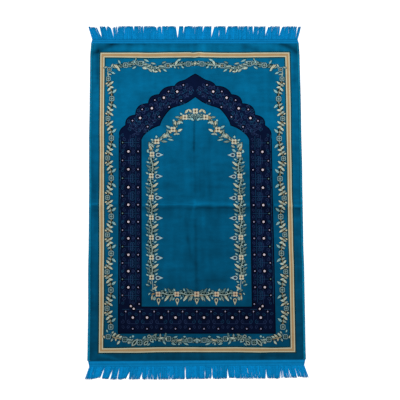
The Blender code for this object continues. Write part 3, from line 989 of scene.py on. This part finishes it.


# sum of the lines: painted light (+) and painted shade (-) on the pile, and the same sum raises the pile's
# folds in pileHeight
def creaseAt(x, y):
    total = 0.0
    for x0, y0, x1, y1, spread, strength in creaseAndShadeLines:
        if min(x0, x1) - 45 < x < max(x0, x1) + 45 and min(y0, y1) - 45 < y < max(y0, y1) + 45:
            sway = pilePanel["creaseSway"] * noise.noise(Vector((x / 34, y / 34, x0 * 0.37)))
            off, past = alongLine(x, y, x0, y0, x1, y1)
            total += strength * bell(off + sway, spread) * bell(past, 3 * spread)
    return total


def brushingAndShadeAt(x, y):
    value = readRow(paintedShadeRun, y, 1)
    change = creaseAt(x, y)
    for cx, cy, reachX, reachY, strength in paintedShadeSpots:
        if abs(x - cx) < 3 * reachX and abs(y - cy) < 3 * reachY:
            change += strength * bell(x - cx, reachX) * bell(y - cy, reachY)
    # the streaks are stronger outside the frame line
    streak = 1.2 if abs(x) > 300 or y > 470 or y < -478 else 0.8
    for strength, waveX, waveY, seed, streaky in napNoise:
        change += strength * (streak if streaky else 1) * noise.noise(Vector((x / waveX, y / waveY, seed)))
    return value * (1 + change)


def pileHeight(x, y):
    # x and y in metres, measured on the flat cloth
    p = pilePanel
    inset = min(rug["pileHalf"] - abs(x), rug["pileTop"] - y, y - rug["pileBottom"])
    share = min(1.0, max(0.0, inset / p["rim"]))
    height = p["thickness"] + softRelief(x, y) - p["edgeRoll"] * (1 - share) ** 2
    height += p["crushed"] * noise.noise(Vector((x / 0.030, y / 0.022, 3.3)))
    return height + p["creaseHeight"] * creaseAt(x / mm, y / mm) * share


# sideways shift of the pattern along the rug: y, shift
patternLean = [(-0.24, 0.0003), (-0.10, -0.0004), (0.02, -0.0010), (0.40, -0.0010)]
# how much the pattern's rows slope down towards the right, along the rug: y, slope
patternSlope = [
    (-0.45, 0.0070), (-0.33, 0.0068), (-0.28, 0.0048), (-0.10, 0.0038), (-0.02, 0.0070),
    (0.07, 0.0070), (0.15, 0.0052), (0.27, 0.0030), (0.44, 0.0015),
]

# where the top end is drawn out and in beside the fold along the rug: x, spread, shift
patternPinch = [(0.014, 0.008, 0.0012), (-0.003, 0.006, -0.0012)]
patternSeat = {
    "drop": 0.0008,
    "endFade": 0.065,  # the lean and the slope die out towards the cloth's ends and sides
    "sideFade": (0.295, 0.035),
    "bulge": (0.275, 0.020, 0.0006),  # x, spread, shift
    "pinchStart": (0.40, 0.05),
    "pinchEnd": (0.495, 0.01),
}


def ramp(value, width):
    return max(0.0, min(1.0, value / width))


def onRug(x, y):
    # takes a place on the straight cloth to where it lies, in metres
    s = patternSeat
    side = 1 if x > 0 else -1
    wander = edgeX(side, y) - side * rug["width"] / 2
    reach = abs(x) / rug["pileHalf"]
    pull = sum(rise * bell(x - place, spread) for place, spread, rise in patternPinch)
    (start, startWidth), (end, endWidth) = s["pinchStart"], s["pinchEnd"]
    pull *= ramp(y - start, startWidth) * ramp(end - y, endWidth)
    # the pattern itself sits a little askew on the cloth
    reachX, fade = s["sideFade"]
    fadeY = readRow([(0.0, 0.0), (s["endFade"], 1.0)], rug["pileTop"] - abs(y), 1)
    fadeX = readRow([(0.0, 0.0), (fade, 1.0)], reachX - abs(x), 1)
    along = (-s["drop"] - readRow(patternSlope, y, 1) * x) * fadeY
    place, spread, rise = s["bulge"]
    bulge = rise * bell(x - place, spread)
    across = readRow(patternLean, y, 1) * fadeX + bulge * fadeY
    return x + wander * reach ** 4 + across, y + pull + along


def clockwise(outline):
    ends = zip(outline, outline[1:] + outline[:1])
    return sum(x0 * y1 - x1 * y0 for (x0, y0), (x1, y1) in ends) < 0


def meshWhereYarnChanges(found, faceYarns, surface):
    # lines with the same yarn on both sides are left out of the mesh
    spots, faces = found[0], found[2]
    sides = {}
    for face, yarn in zip(faces, faceYarns):
        for a, b in zip(face, face[1:] + face[:1]):
            sides.setdefault((min(a, b), max(a, b)), []).append(yarn)
    lines = sorted(line for line, both in sides.items() if len(both) == 1 or both[0] != both[1])
    kept = sorted({end for line in lines for end in line})
    place = {end: k for k, end in enumerate(kept)}
    points = [spots[end] for end in kept] + surface
    again = delaunay_2d_cdt(points, [(place[a], place[b]) for a, b in lines], [], 0, 0.002, False)
    drawn = BVHTree.FromPolygons([(spot.x, spot.y, 0.0) for spot in spots], faces)
    yarns = []
    for face in again[2]:
        middle = sum((again[0][k] for k in face), Vector((0.0, 0.0))) / len(face)
        yarns.append(faceYarns[drawn.find_nearest(middle.to_3d())[2]])
    return again[0], again[2], yarns


def surfacePoints(half, top, bottom):
    # an even grid, with more points at the rim and along the folds
    p = pilePanel

    def linesFor(low, high):
        steps = round((high - low) / p["gridPitch"])
        lines = {round(low + (high - low) * k / steps, 3) for k in range(1, steps)}
        for inset in p["rimSteps"]:
            lines.update((low + inset, high - inset))
        return lines

    folded = {p["fold"] + p["foldPitch"] * k for k in range(-8, 9)}
    xs, ys = sorted(linesFor(-half, half)), sorted(linesFor(bottom, top) | folded)
    points = [Vector((x, y)) for x in xs for y in ys]
    for k in range(-60, 60):
        for x in range(-9, 16, 3):
            points.append(Vector((x + 0.4 * (k % 3), k * 4.5 + 1.3)))
    return points


def closeUnderside(bm):
    # walls from the open border down to the floor, and one flat face under them
    following = {}  # each border point and the next one, against the way of the face beside them
    for edge in bm.edges:
        if edge.is_boundary:
            loop = edge.link_loops[0]
            following[loop.link_loop_next.vert] = loop.vert
    ring = [next(iter(following))]
    while len(ring) < len(following):
        ring.append(following[ring[-1]])
    lowered = [bm.verts.new((vert.co.x, vert.co.y, 0.0), vert) for vert in ring]
    walls = []
    for k, vert in enumerate(ring):
        walls.append(bm.faces.new((ring[k - 1], vert, lowered[k], lowered[k - 1])))
    back = [bm.faces.new(lowered)]
    bm.normal_update()
    bmesh.ops.recalc_face_normals(bm, faces=bm.faces[:])
    return lowered, walls, back


def makePilePanel():
    half, top, bottom = (rug[key] / mm for key in ("pileHalf", "pileTop", "pileBottom"))
    drawFrame()
    drawOuterVine()
    drawNiche()
    drawInnerVine()
    pattern.sort(key=lambda item: item[0])
    rim = rectangle(half, bottom, top, pilePanel["gridPitch"])
    points, outlines, yarns = [], [], []
    for layer, yarn, outline in [(0, "teal_ground", rim), *pattern]:
        outlines.append(list(range(len(points), len(points) + len(outline))))
        points.extend(Vector(spot) for spot in (outline[::-1] if clockwise(outline) else outline))
        yarns.append(yarn)
    found = delaunay_2d_cdt(points, [], outlines, 1, 0.002, True)
    faceYarns = [yarns[max(inside)] for inside in found[5]]
    places, faces, held = meshWhereYarnChanges(found, faceYarns, surfacePoints(half, top, bottom))
    names = list(pileYarns)
    verts = []
    for x, y in places:
        verts.append((*onRug(x * mm, y * mm), pileHeight(x * mm, y * mm)))
    mesh = bpy.data.meshes.new("pile_panel")
    mesh.from_pydata(verts, [], [tuple(face) for face in faces])
    for face, yarn in zip(mesh.polygons, held):
        face.material_index = names.index(yarn)
        face.use_smooth = True
    bm = bmesh.new()
    bm.from_mesh(mesh)
    for name in ("brushingAndShade", "flatX", "flatY"):
        bm.verts.layers.float.new(name)
    layers = brushingAndShade, flatX, flatY = [bm.verts.layers.float[name] for name in ("brushingAndShade", "flatX", "flatY")]
    for vert, (x, y) in zip(bm.verts, places):
        vert[brushingAndShade], vert[flatX], vert[flatY] = brushingAndShadeAt(x, y), x, y
    lowered, walls, back = closeUnderside(bm)
    # the walls are darker towards the floor, painted shade
    for vert in lowered:
        vert[brushingAndShade] *= 0.8
    for face in [*walls, *back]:
        face.smooth = False
        face.material_index = len(names) if face in back else 0
    layFlatMap(bm, back, layers[1:], half, top, bottom)
    bm.to_mesh(mesh)
    bm.free()
    for name, (color, reach) in pileYarns.items():
        mesh.materials.append(makeVelvet(name, linear(*color), reach))
    mesh.materials.append(makeBackCloth())
    return addPiece("velvet_pile", mesh, "pile_panel")


def layFlatMap(bm, back, layers, half, top, bottom):
    # one flat map: the face in the left two thirds, the back at half size beside it
    uvLayer = bm.loops.layers.uv.new("OFBake")
    scaleX, scaleY = 1 / (1.5 * 2 * half + 24), 1 / (top - bottom + 16)
    for face in bm.faces:
        middle, normal = face.calc_center_median(), face.normal
        for loop in face.loops:
            x, y = (loop.vert[layer] for layer in layers)
            mapX, mapY = 8 + x + half, 8 + y - bottom
            if face in back:
                mapX, mapY = 2 * half + 16 + (x + half) / 2, 8 + (y - bottom) / 2
            elif abs(normal.z) < 0.5:
                out = 5.0 if loop.vert.co.z < 0.001 else 0.4
                mapX += out * (1 if middle.x > 0 else -1) * (abs(normal.x) > 0.5)
                mapY += out * (1 if middle.y > 0 else -1) * (abs(normal.y) > 0.5)
            loop[uvLayer].uv = (mapX * scaleX, mapY * scaleY)


def makeBackCloth():
    finish, tree, shader = newFinish("woven_back", 0.9, 0.08, 0.5, (0.5, 0.7, 0.8))
    place = addNode(tree, "ShaderNodeTexCoord").outputs["Object"]
    weft = bandNode(tree, place, "Y", 0.0016, 0.5)
    weave = mathNode(tree, "MAXIMUM", weft, bandNode(tree, place, "X", 0.0021, 0.5))
    worn = rangeNode(tree, noiseNode(tree, place, 45, 4), 0.3, 0.7, 0.85, 1.1)
    # the raised threads are lighter and the gaps between them darker, painted shade
    shade = product(tree, rangeNode(tree, weave, 0.2, 1.0, 0.55, 1.1), worn)
    tree.links.new(tinted(tree, linear(78, 122, 150), shade), shader.inputs["Base Color"])
    addBump(tree, shader, weave, 0.6, 0.0005)
    return finish


def addPiece(name, mesh, node):
    piece = bpy.data.objects.new(name, mesh)
    bpy.context.scene.collection.objects.link(piece)
    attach(piece, "root")
    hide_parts(node)
    return piece


def triangles(piece):
    return sum(len(face.vertices) - 2 for face in piece.data.polygons)


# ---- overlocked side edges
sideEdge = {
    "width": 0.0075,
    "height": 0.0042,
    "wrapPitch": 0.0022,
    "slant": 0.0030,
    "ridge": 0.00040,
    "stepsPerWrap": 6,
    "stitch": 0.0034,
    "stitchGirth": 0.00052,
    "tones": (0.86, 1.12),
    "color": (8, 115, 153),
}


def joinRings(faces, first, rings, sides):
    # a skin over rings of points, closed at both ends
    for k in range(rings - 1):
        for m in range(sides):
            a, b = first + k * sides + m, first + k * sides + (m + 1) % sides
            faces.append((a, b, b + sides, a + sides))
    last = first + (rings - 1) * sides
    faces += [tuple(range(first, first + sides)), tuple(range(last, last + sides))]


def threadMesh(name, verts, faces, tone):
    mesh = bpy.data.meshes.new(name)
    mesh.from_pydata(verts, [], faces)
    mesh.attributes.new("tone", "FLOAT", "POINT").data.foreach_set("value", tone)
    bm = bmesh.new()
    bm.from_mesh(mesh)
    bmesh.ops.recalc_face_normals(bm, faces=bm.faces[:])
    for face in bm.faces:
        face.smooth = True
    bm.to_mesh(mesh)
    bm.free()
    return mesh


def edgeSection(width, height, count=16):
    # round-cornered section, from the inner foot over the top to the outer foot and back
    points = []
    for k in range(count):
        c, s = math.cos(math.tau * k / count), math.sin(math.tau * k / count)
        x, z = math.copysign(abs(c) ** 0.55, c), math.copysign(abs(s) ** 0.62, s)
        points.append(((0.5 - 0.5 * x) * width, (0.5 + 0.5 * z) * height))
    return points


def makeSideEdge(name, side):
    e = sideEdge
    width, height = e["width"], e["height"]
    section = edgeSection(width, height)
    low, high = rug["pileBottom"], rug["pileTop"]
    steps = round((high - low) / e["wrapPitch"]) * e["stepsPerWrap"]
    rng = random.Random(31 + side)
    tones = [rng.uniform(*e["tones"]) for _ in range(steps // e["stepsPerWrap"] + 6)]
    verts, tone, faces = [], [], []
    for k in range(steps + 1):
        y = low + (high - low) * k / steps
        outer = edgeX(side, y)
        rise = 0.6 * softRelief(edgeX(side, y, 0.008), y)
        # painted light and shade of the pile's folds, carried on along the edge
        lean = 1 + 0.6 * creaseAt(side * 333, y / mm)
        for px, pz in section:
            across = px / width
            phase = (y - low + e["slant"] * across) / e["wrapPitch"]
            swell = abs(math.sin(math.pi * phase)) ** 0.7
            dx, dz = px - width / 2, pz - height / 2
            push = e["ridge"] * (swell - 1.0) / math.hypot(dx, dz)
            z = max(0.0, pz + dz * push + rise * pz / height)
            verts.append((outer - side * (width - px - dx * push), y, z))
            # each wrap has its own tone, darker in the grooves between wraps as painted shade
            shade = tones[min(len(tones) - 1, int(phase))] * (0.62 + 0.38 * swell)
            tone.append(shade * lean * (0.93 + 0.14 * noise.noise(Vector((y * 60, across, side)))))
    joinRings(faces, 0, steps + 1, len(section))
    # the needle thread's stitches along the inner side
    y = low + 0.002
    while y < high - 0.003:
        middle = edgeX(side, y, width + 0.00015)
        top = pilePanel["thickness"] + softRelief(middle, y) - 0.0004
        joinRings(faces, len(verts), 5, 5)
        for j in range(5):
            girth = e["stitchGirth"] * math.sin(math.pi * (0.25 + 0.125 * j))
            for m in range(5):
                a = math.tau * m / 5
                x, z = middle + girth * math.cos(a), top + girth * (1 + math.sin(a))
                verts.append((x, y + e["stitch"] * 0.99 * j / 4, z))
                tone.append(0.75)
        y += e["stitch"]
    mesh = threadMesh(name, verts, faces, tone)
    hand = "left" if side < 0 else "right"
    mesh.materials.append(makeThread("edge_thread_" + hand, e["color"], 0.45))
    return addPiece(name, mesh, "side_edge_" + hand)


def makeThread(name, color, gloss):
    base = linear(*color)
    finish, tree, shader = newFinish(name, 1 - gloss, 0.15, 0.4, [min(1, 2 * c) for c in base])
    place = addNode(tree, "ShaderNodeTexCoord").outputs["Object"]
    tone = addNode(tree, "ShaderNodeAttribute", attribute_name="tone").outputs["Fac"]
    fine = noiseNode(tree, place, 1800, 2, (1, 0.3, 1))
    patches = rangeNode(tree, noiseNode(tree, place, 90, 3), 0.3, 0.7, 0.94, 1.06)
    shade = product(tree, tone, rangeNode(tree, fine, 0.25, 0.75, 0.88, 1.12), patches)
    tree.links.new(tinted(tree, base, shade), shader.inputs["Base Color"])
    addBump(tree, shader, fine, 0.3, 0.0002)
    return finish


# ---- fringes
fringes = {
    "top": {
        "end": 1, "tape": 0.015, "strand": 0.044, "seed": 7, "node": "fringe_top",
        "longer": 0.0006,  # past the solid's strands
        # how light the weave is across the tape: share, tone
        "bands": [(0.0, 1.0), (0.34, 1.06), (0.42, 0.76), (0.52, 0.76), (0.60, 1.03), (1.0, 1.0)],
        # openings in mm: x at the root, x at the tip, width at each of the openingShares
        "gaps": [
            (-301, -315, 0.3, 1.5, 5.4, 7.3, 8.5, 10, 11), (-281, -290, 0, 0, 0, 0.6, 1.2, 4.4, 6),
            (-262, -272, 0.3, 1, 2.4, 2.8, 3.2, 4.8, 6), (-251, -254, 0, 0, 0.4, 2.3, 2.9, 4.3, 5.2),
            (-224, -224, 0, 0, 0, 0, 0.3, 1, 1.6), (-194, -201, 0, 0, 0.2, 0.6, 1.1, 4.4, 5.4),
            (-169, -167, 0, 0, 0.2, 0.9, 0.8, 1.7, 2.2), (-146, -147, 0, 0, 0, 0.5, 0.3, 0.4, 1.2),
            (-124, -124, 0, 0, 0, 0.2, 0.8, 3, 4.6), (-109, -109, 0, 0, 0.6, 2.4, 3.2, 4.4, 5.4),
            (-90, -90, 0, 0, 0, 0, 0.4, 0.8, 1.4), (-57, -57, 0.7, 3.2, 5.6, 8, 10.8, 12.8, 13.6),
            (-42, -36, 0, 0, 0.7, 2.3, 3.4, 4, 4.6), (-7, -7, 0, 0, 0, 0.3, 0.6, 3, 4),
            (20, 27, 0.3, 0.6, 0.6, 0.7, 1.7, 4.8, 5.6), (37, 42, 0.3, 0.9, 0.3, 0, 0, 0.6, 1.4),
            (51, 58, 0.2, 1.8, 4.3, 7, 9, 12, 13), (76, 79, 0, 0.8, 2.6, 1.8, 0.3, 0.7, 1.2),
            (96, 103, 0, 0.3, 1.2, 2.6, 3.4, 6.4, 8), (119, 120, 0, 0, 0, 0.4, 0.3, 0.5, 1.2),
            (140, 140, 0, 0, 0, 0, 0.5, 2.4, 3.2), (156, 157, 0, 0, 0.3, 0.4, 0.2, 0.4, 1),
            (171, 172, 0, 0, 0, 0.2, 0.4, 1.6, 2.4), (188, 190, 0, 0, 0.3, 1.5, 3.6, 4.6, 5.2),
            (202, 208, 0, 0.7, 2.1, 3, 1.3, 1.4, 2), (225, 235, 0, 0.4, 2.1, 4.2, 6.2, 9.4, 11),
            (247, 251, 0, 0, 0, 0.3, 0.4, 0.5, 1.4), (270, 281, 0, 0.5, 2.8, 4, 5, 8.8, 11),
            (300, 304, 0, 0, 0, 0.3, 0.3, 0.6, 1.6), (326, 333, 0.2, 0.8, 0.9, 1.6, 3.2, 4.2, 5),
        ],
        # places where the ends are cut shorter: x and reach in mm, share
        "short": [(-262, 6, 0.1), (-124, 6, 0.1), (-307, 4, 0.05), (234, 5, 0.05)],
    },
    "bottom": {
        "end": -1, "tape": 0.020, "strand": 0.038, "seed": 11, "node": "fringe_bottom",
        "longer": 0.0013,
        # the darkest first part, at the pile's edge, is painted shadow of the pile over the tape
        "bands": [
            (0.0, 0.50), (0.10, 0.60), (0.18, 1.0), (0.34, 1.08), (0.44, 0.84), (0.62, 0.84), (0.72, 1.02),
            (1.0, 1.0),
        ],
        "gaps": [
            (-322, -331, 0.2, 0.8, 0.5, 0.2, 0.2, 0.8, 2.4), (-308, -316, 0.3, 1.2, 0.9, 0.3, 0.3, 1.4, 3),
            (-285, -297, 0, 0.6, 3.4, 3.7, 3.8, 5.4, 7), (-259, -271, 0, 0.4, 1.9, 3.9, 4.7, 6, 7),
            (-240, -247, 0.3, 1.2, 2.4, 3.1, 2.8, 3.4, 4.2), (-224, -232, 0, 0.3, 0.6, 0.3, 0.2, 0.8, 1.6),
            (-204, -216, 0, 0.2, 0.9, 3.9, 7.3, 9.4, 10), (-184, -190, 0.2, 0.6, 0.3, 0, 0.2, 0.6, 1.6),
            (-166, -174, 0, 0.2, 0.7, 2.3, 4.6, 7, 8), (-152, -154, 0, 0.2, 0.4, 0.4, 1.4, 1.2, 1.8),
            (-138, -136, 0, 0, 0.2, 0.5, 1.6, 2, 3), (-123, -122, 0, 0.2, 0.4, 1, 1.8, 3.2, 4),
            (-115, -114, 0, 0.3, 0.5, 0.7, 1, 0.7, 1.2), (-106, -106, 0, 0.4, 0.5, 0.2, 0.2, 0.6, 1.2),
            (-93, -93, 0, 0.2, 0.6, 0.5, 0.2, 0.4, 1), (-80, -79, 0, 0.5, 1.2, 1, 0.3, 0.3, 1.2),
            (-60, -56, 0, 0.2, 0.5, 0.7, 0.7, 0.9, 2.6), (-37, -37, 1, 2.8, 4.3, 4.1, 3.1, 5.2, 7.2),
            (-18, -18, 0, 0.3, 0.5, 0.2, 0.2, 0.5, 1.4), (-5, -5, 0, 0, 0.3, 0.4, 0.7, 0.6, 1.6),
            (9, 9, 0, 0.2, 0.4, 0.3, 0.7, 0.8, 2.4), (25, 25, 0, 0.5, 1.8, 3.1, 1.9, 2.1, 3),
            (46, 47, 0.4, 2.7, 3.9, 2.4, 1.9, 6.4, 9), (61, 61, 0, 0.3, 0.5, 0.2, 0.2, 0.6, 1.6),
            (75, 73, 1.2, 1.5, 1.6, 0.5, 0.2, 0.4, 1.4), (94, 96, 0.3, 1.1, 2.8, 4.1, 3.6, 6.2, 8),
            (114, 117, 0, 0.4, 1.8, 1.2, 0.4, 1.6, 3), (136, 139, 0, 0.3, 0.5, 0.3, 0.2, 0.4, 1.4),
            (155, 161, 0.8, 1.8, 1.8, 1.3, 0.4, 0.6, 3), (172, 180, 0, 0.2, 0.3, 0.4, 1.1, 1.1, 3),
            (193, 195, 0, 0.2, 0.4, 0.7, 0.3, 0.4, 1.2), (213, 215, 0, 0.4, 1.6, 2.5, 3.3, 6, 8),
            (236, 239, 0, 0.3, 0.6, 0.3, 0.2, 0.6, 1.4), (259, 256, 0, 0.3, 0.7, 0.3, 0.2, 0.7, 2.2),
            (264, 269, 0, 0, 0.3, 1.4, 2.6, 2.9, 4.4), (281, 293, 0, 0.4, 1.9, 2.4, 3.1, 2, 2.4),
            (302, 311, 0, 0.4, 1.3, 0.6, 0.5, 1.5, 4), (319, 329, 0, 0.2, 0.6, 0.4, 0.3, 0.5, 1.8),
        ],
        "short": [(-296, 17, 0.12), (105, 13, 0.07), (39, 8, 0.06), (309, 9, 0.07), (-213, 6, 0.05)],
    },
}
openingShares = (0.10, 0.25, 0.40, 0.55, 0.70, 0.85, 1.0)

fringeYarn = {
    "inset": 0.0065,
    "innerInset": 0.35,
    "tapeThickness": 0.0020,
    "tapeRows": 20,
    "rib": 0.00012,
    "cord": 0.00022,
    "cords": [(0.46, 0.05), (0.80, 0.035)],  # stitched rows across the tape: share, spread
    "tuck": 0.0002,  # the tape's sewn side goes in under the pile
    "cornerSplay": 0.0135,
    "perRow": 430,
    "radius": 0.00078,
    "sides": 5,
    "uneven": 0.045,
    "color": (4, 132, 194),
    "tapeColor": (4, 111, 165),
    "opening": 0.78,
    "lowerRow": 1.30,  # how much thicker its yarns are
    "root": 0.0012,  # how far the strands go in under the tape
    "sway": 0.9,  # this and the curl in mm
    "curl": 1.0,
    "shades": (0.80, 1.16),
    "gauges": (0.82, 1.10),
    "cutShort": 0.06,  # share of the yarns that is much shorter
}


def openingWidth(widths, share):
    table = [(0.0, 0.0), *zip(openingShares, widths)]
    return fringeYarn["opening"] * mm * readRow(table, share, 1)


def strandPlace(x, gaps, share):
    # the outermost strands splay, and the gaps push their neighbours aside
    half = rug["width"] / 2 - fringeYarn["inset"]
    rows = [(-half, -half - fringeYarn["cornerSplay"]), *gaps, (half, half + fringeYarn["cornerSplay"])]
    for left, right in zip(rows, rows[1:]):
        if x <= right[0]:
            break
    low, high = (
        root + (tip - root) * share + edge * openingWidth(widths, share) / 2
        for (root, tip, *widths), edge in ((left, 1), (right, -1))
    )
    return low + (x - left[0]) * (high - low) / (right[0] - left[0])


def makeHeading(name, f):
    # the woven tape: ribs that run on as the strands, and its rows of stitches
    end, tape = f["end"], f["tape"]
    panelY = rug["pileTop"] if end > 0 else rug["pileBottom"]
    half = rug["width"] / 2 - fringeYarn["inset"]
    columns, rows = fringeYarn["perRow"] * 4, fringeYarn["tapeRows"]
    verts, tone, faces = [], [], []
    for i in range(columns + 1):
        for j in range(rows + 1):
            share = j / rows
            spread = 1 + (1 - share) * fringeYarn["inset"] * (1 - fringeYarn["innerInset"]) / half
            x = (-half + 2 * half * i / columns) * spread
            y = panelY + end * (tape * share - fringeYarn["tuck"] * (1 - share))
            rib = abs(math.sin(math.pi * i / 4 + 0.6 * math.sin(j * 1.3)))
            cord = max(bell(share - place, spread) for place, spread in fringeYarn["cords"])
            z = fringeYarn["tapeThickness"] + fringeYarn["rib"] * rib + fringeYarn["cord"] * cord
            if i in (0, columns) or j == 0:
                z -= 0.0006
            verts.append((x, y, z + 0.5 * softRelief(x, y) * (1 - share)))
            # raised ribs are lighter and the hollows between them darker, painted light and shade
            shade = readRow(f["bands"], share, 1) * (0.90 + 0.16 * rib)
            shade *= 1 + 0.06 * noise.noise(Vector((x * 26, share * 2, end)))
            tone.append(shade * (1 + 0.05 * noise.noise(Vector((x * 300, share * 3, end)))))
            if i < columns and j < rows:
                a = len(verts) - 1
                faces.append((a, a + rows + 1, a + rows + 2, a + 1))
    mesh = threadMesh(name, verts, faces, tone)
    bm = bmesh.new()
    bm.from_mesh(mesh)
    closeUnderside(bm)
    for face in bm.faces:
        face.smooth = len(face.verts) < 5 and abs(face.normal.z) > 0.5
    bm.to_mesh(mesh)
    bm.free()
    mesh.materials.append(makeThread(name + "_weave", fringeYarn["tapeColor"], 0.4))
    return addPiece(name, mesh, f["node"])


def makeStrands(name, f):
    end, length = f["end"], f["strand"] + f["longer"]
    gaps = [(root * mm, tip * mm, *widths) for root, tip, *widths in f["gaps"]]
    panelY = rug["pileTop"] if end > 0 else rug["pileBottom"]
    rootY = panelY + end * (f["tape"] - fringeYarn["root"])
    half = rug["width"] / 2 - fringeYarn["inset"]
    rng = random.Random(f["seed"])
    shares = (0.0, 0.08, 0.22, 0.40, 0.58, 0.76, 0.90, 1.0)
    sides, radius = fringeYarn["sides"], fringeYarn["radius"]
    verts, tone, faces = [], [], []
    pitch = 2 * half / fringeYarn["perRow"]
    for row in (0, 1):
        for index in range(fringeYarn["perRow"]):
            x0 = -half + pitch * (index + 0.25 + 0.5 * row) + rng.uniform(-0.15, 0.15) * pitch
            reach = length * (1 - fringeYarn["uneven"] * (rng.random() ** 1.6)) + 0.0010
            if rng.random() < fringeYarn["cutShort"]:
                reach *= rng.uniform(0.84, 0.95)
            reach *= 1 - 0.02 * (1 + noise.noise(Vector((x0 * 70, 5 * end, 2.2))))
            for place, spread, cut in f["short"]:
                reach *= 1 - cut * bell(x0 / mm - place, spread)
            if rng.random() < 0.03:
                reach *= 1.02
            gauge = rng.uniform(*fringeYarn["gauges"]) * (1 if row else fringeYarn["lowerRow"])
            sway = rng.uniform(-fringeYarn["sway"], fringeYarn["sway"]) * mm
            phase = rng.uniform(0, math.tau)
            curl = rng.uniform(-fringeYarn["curl"], fringeYarn["curl"]) * mm
            # the lower row, lying under the upper one, is painted darker as shade
            shade = rng.uniform(*fringeYarn["shades"]) * (0.84 if row == 0 else 1.0)
            shade *= 1 + 0.16 * noise.noise(Vector((x0 * 110, end, 7.7)))
            whole = math.hypot(reach, strandPlace(x0, gaps, 1.0) - x0)
            reach *= reach / whole
            joinRings(faces, len(verts), len(shares), sides)
            for share in shares:
                x = strandPlace(x0, gaps, share)
                x += sway * math.sin(phase + 3.2 * share) * share + curl * max(0.0, share - 0.7) ** 2 * 6
                y = rootY + end * (reach + fringeYarn["root"]) * share
                girth = radius * gauge * (1.0 - 0.10 * share)
                if share > 0.95:
                    girth *= 0.45
                level = 0.0009 * (1 - share) ** 2
                z = girth * 0.86 + level + (radius * 1.25 * (1 - 0.35 * share) if row else 0.0)
                z += 0.00025 * math.sin(phase + 7 * share) ** 2
                # darker towards the tips; the slight darkening at the root is painted shade under the tape
                fade = 1.0 - 0.42 * max(0.0, (share - 0.72) / 0.28) ** 1.5
                fade *= 0.97 + 0.03 * min(1.0, share / 0.12)
                for m in range(sides):
                    a = math.tau * (m / sides) + phase + 2.4 * share
                    verts.append((x + girth * math.cos(a), y, z + girth * 0.86 * math.sin(a)))
                    stripe = 1.0 + 0.13 * math.cos(2 * (a - phase) + 26 * share)
                    tone.append(shade * fade * stripe)
    low = min(z for x, y, z in verts)
    verts = [(x, y, z - low) for x, y, z in verts]
    mesh = threadMesh(name, verts, faces, tone)
    mesh.materials.append(makeThread(name + "_yarn", fringeYarn["color"], 0.42))
    return addPiece(name, mesh, f["node"])


# ---- floor, light and camera
studio = {
    "floor": 0.90,
    "floorReach": 6.0,
    "floorGlow": 0.35,  # the photo's white ground hides every shadow
    "world": 0.74,
    # lamps: x, y, z, size, power
    "key": (-0.9, 2.2, 3.2, 2.4, 62),
    "fill": (1.8, -2.0, 3.0, 3.0, 26),
    "camera": (-0.0385, -0.2936, 2.5323),
    "cameraTurn": (6.483, -1.112, -0.3435),
    "fieldOfView": 28.0,
}


def makeStudio():
    s = studio
    scene = bpy.context.scene
    mesh = bpy.data.meshes.new("floor")
    reach = s["floorReach"]
    corners = [(-reach, -reach, 0), (reach, -reach, 0), (reach, reach, 0), (-reach, reach, 0)]
    mesh.from_pydata(corners, [], [(0, 1, 2, 3)])
    floor = bpy.data.objects.new("floor", mesh)
    floor.location.z = -0.0002
    scene.collection.objects.link(floor)
    finish, tree, shader = newFinish("pale_floor", 0.9, 0.0, 0.5, (1, 1, 1))
    shader.inputs["Base Color"].default_value = (s["floor"], s["floor"], s["floor"], 1)
    shader.inputs["Emission Color"].default_value = (1, 1, 1, 1)
    shader.inputs["Emission Strength"].default_value = s["floorGlow"]
    mesh.materials.append(finish)
    for name in ("key", "fill"):
        x, y, z, size, power = s[name]
        data = bpy.data.lights.new(name + "_light", "AREA")
        data.shape = "DISK"
        data.size = size
        data.energy = power
        lamp = bpy.data.objects.new(name + "_light", data)
        lamp.location = (x, y, z)
        lamp.rotation_euler = Vector((-x, -y, -z)).to_track_quat("-Z", "Y").to_euler()
        scene.collection.objects.link(lamp)
    world = bpy.data.worlds.new("soft_room")
    world.use_nodes = True
    world.node_tree.nodes["Background"].inputs["Color"].default_value = (1, 1, 1, 1)
    world.node_tree.nodes["Background"].inputs["Strength"].default_value = s["world"]
    scene.world = world
    scene.view_settings.view_transform = "Standard"
    data = bpy.data.cameras.new("photo_camera")
    data.lens = data.sensor_width / 2 / math.tan(math.radians(s["fieldOfView"] / 2))
    camera = bpy.data.objects.new("photo_camera", data)
    camera.location = s["camera"]
    camera.rotation_euler = [math.radians(value) for value in s["cameraTurn"]]
    scene.collection.objects.link(camera)
    scene.camera = camera


makeStudio()
print("studio, floor and camera set")
pile = makePilePanel()
print("pile panel:", triangles(pile), "triangles,", len(pattern), "outlines in its pattern")
edges = [makeSideEdge("overlock_left", -1), makeSideEdge("overlock_right", 1)]
print("overlocked edges:", [triangles(edge) for edge in edges])
for place, f in fringes.items():
    makeHeading("heading_" + place, f)
    makeStrands("strands_" + place, f)
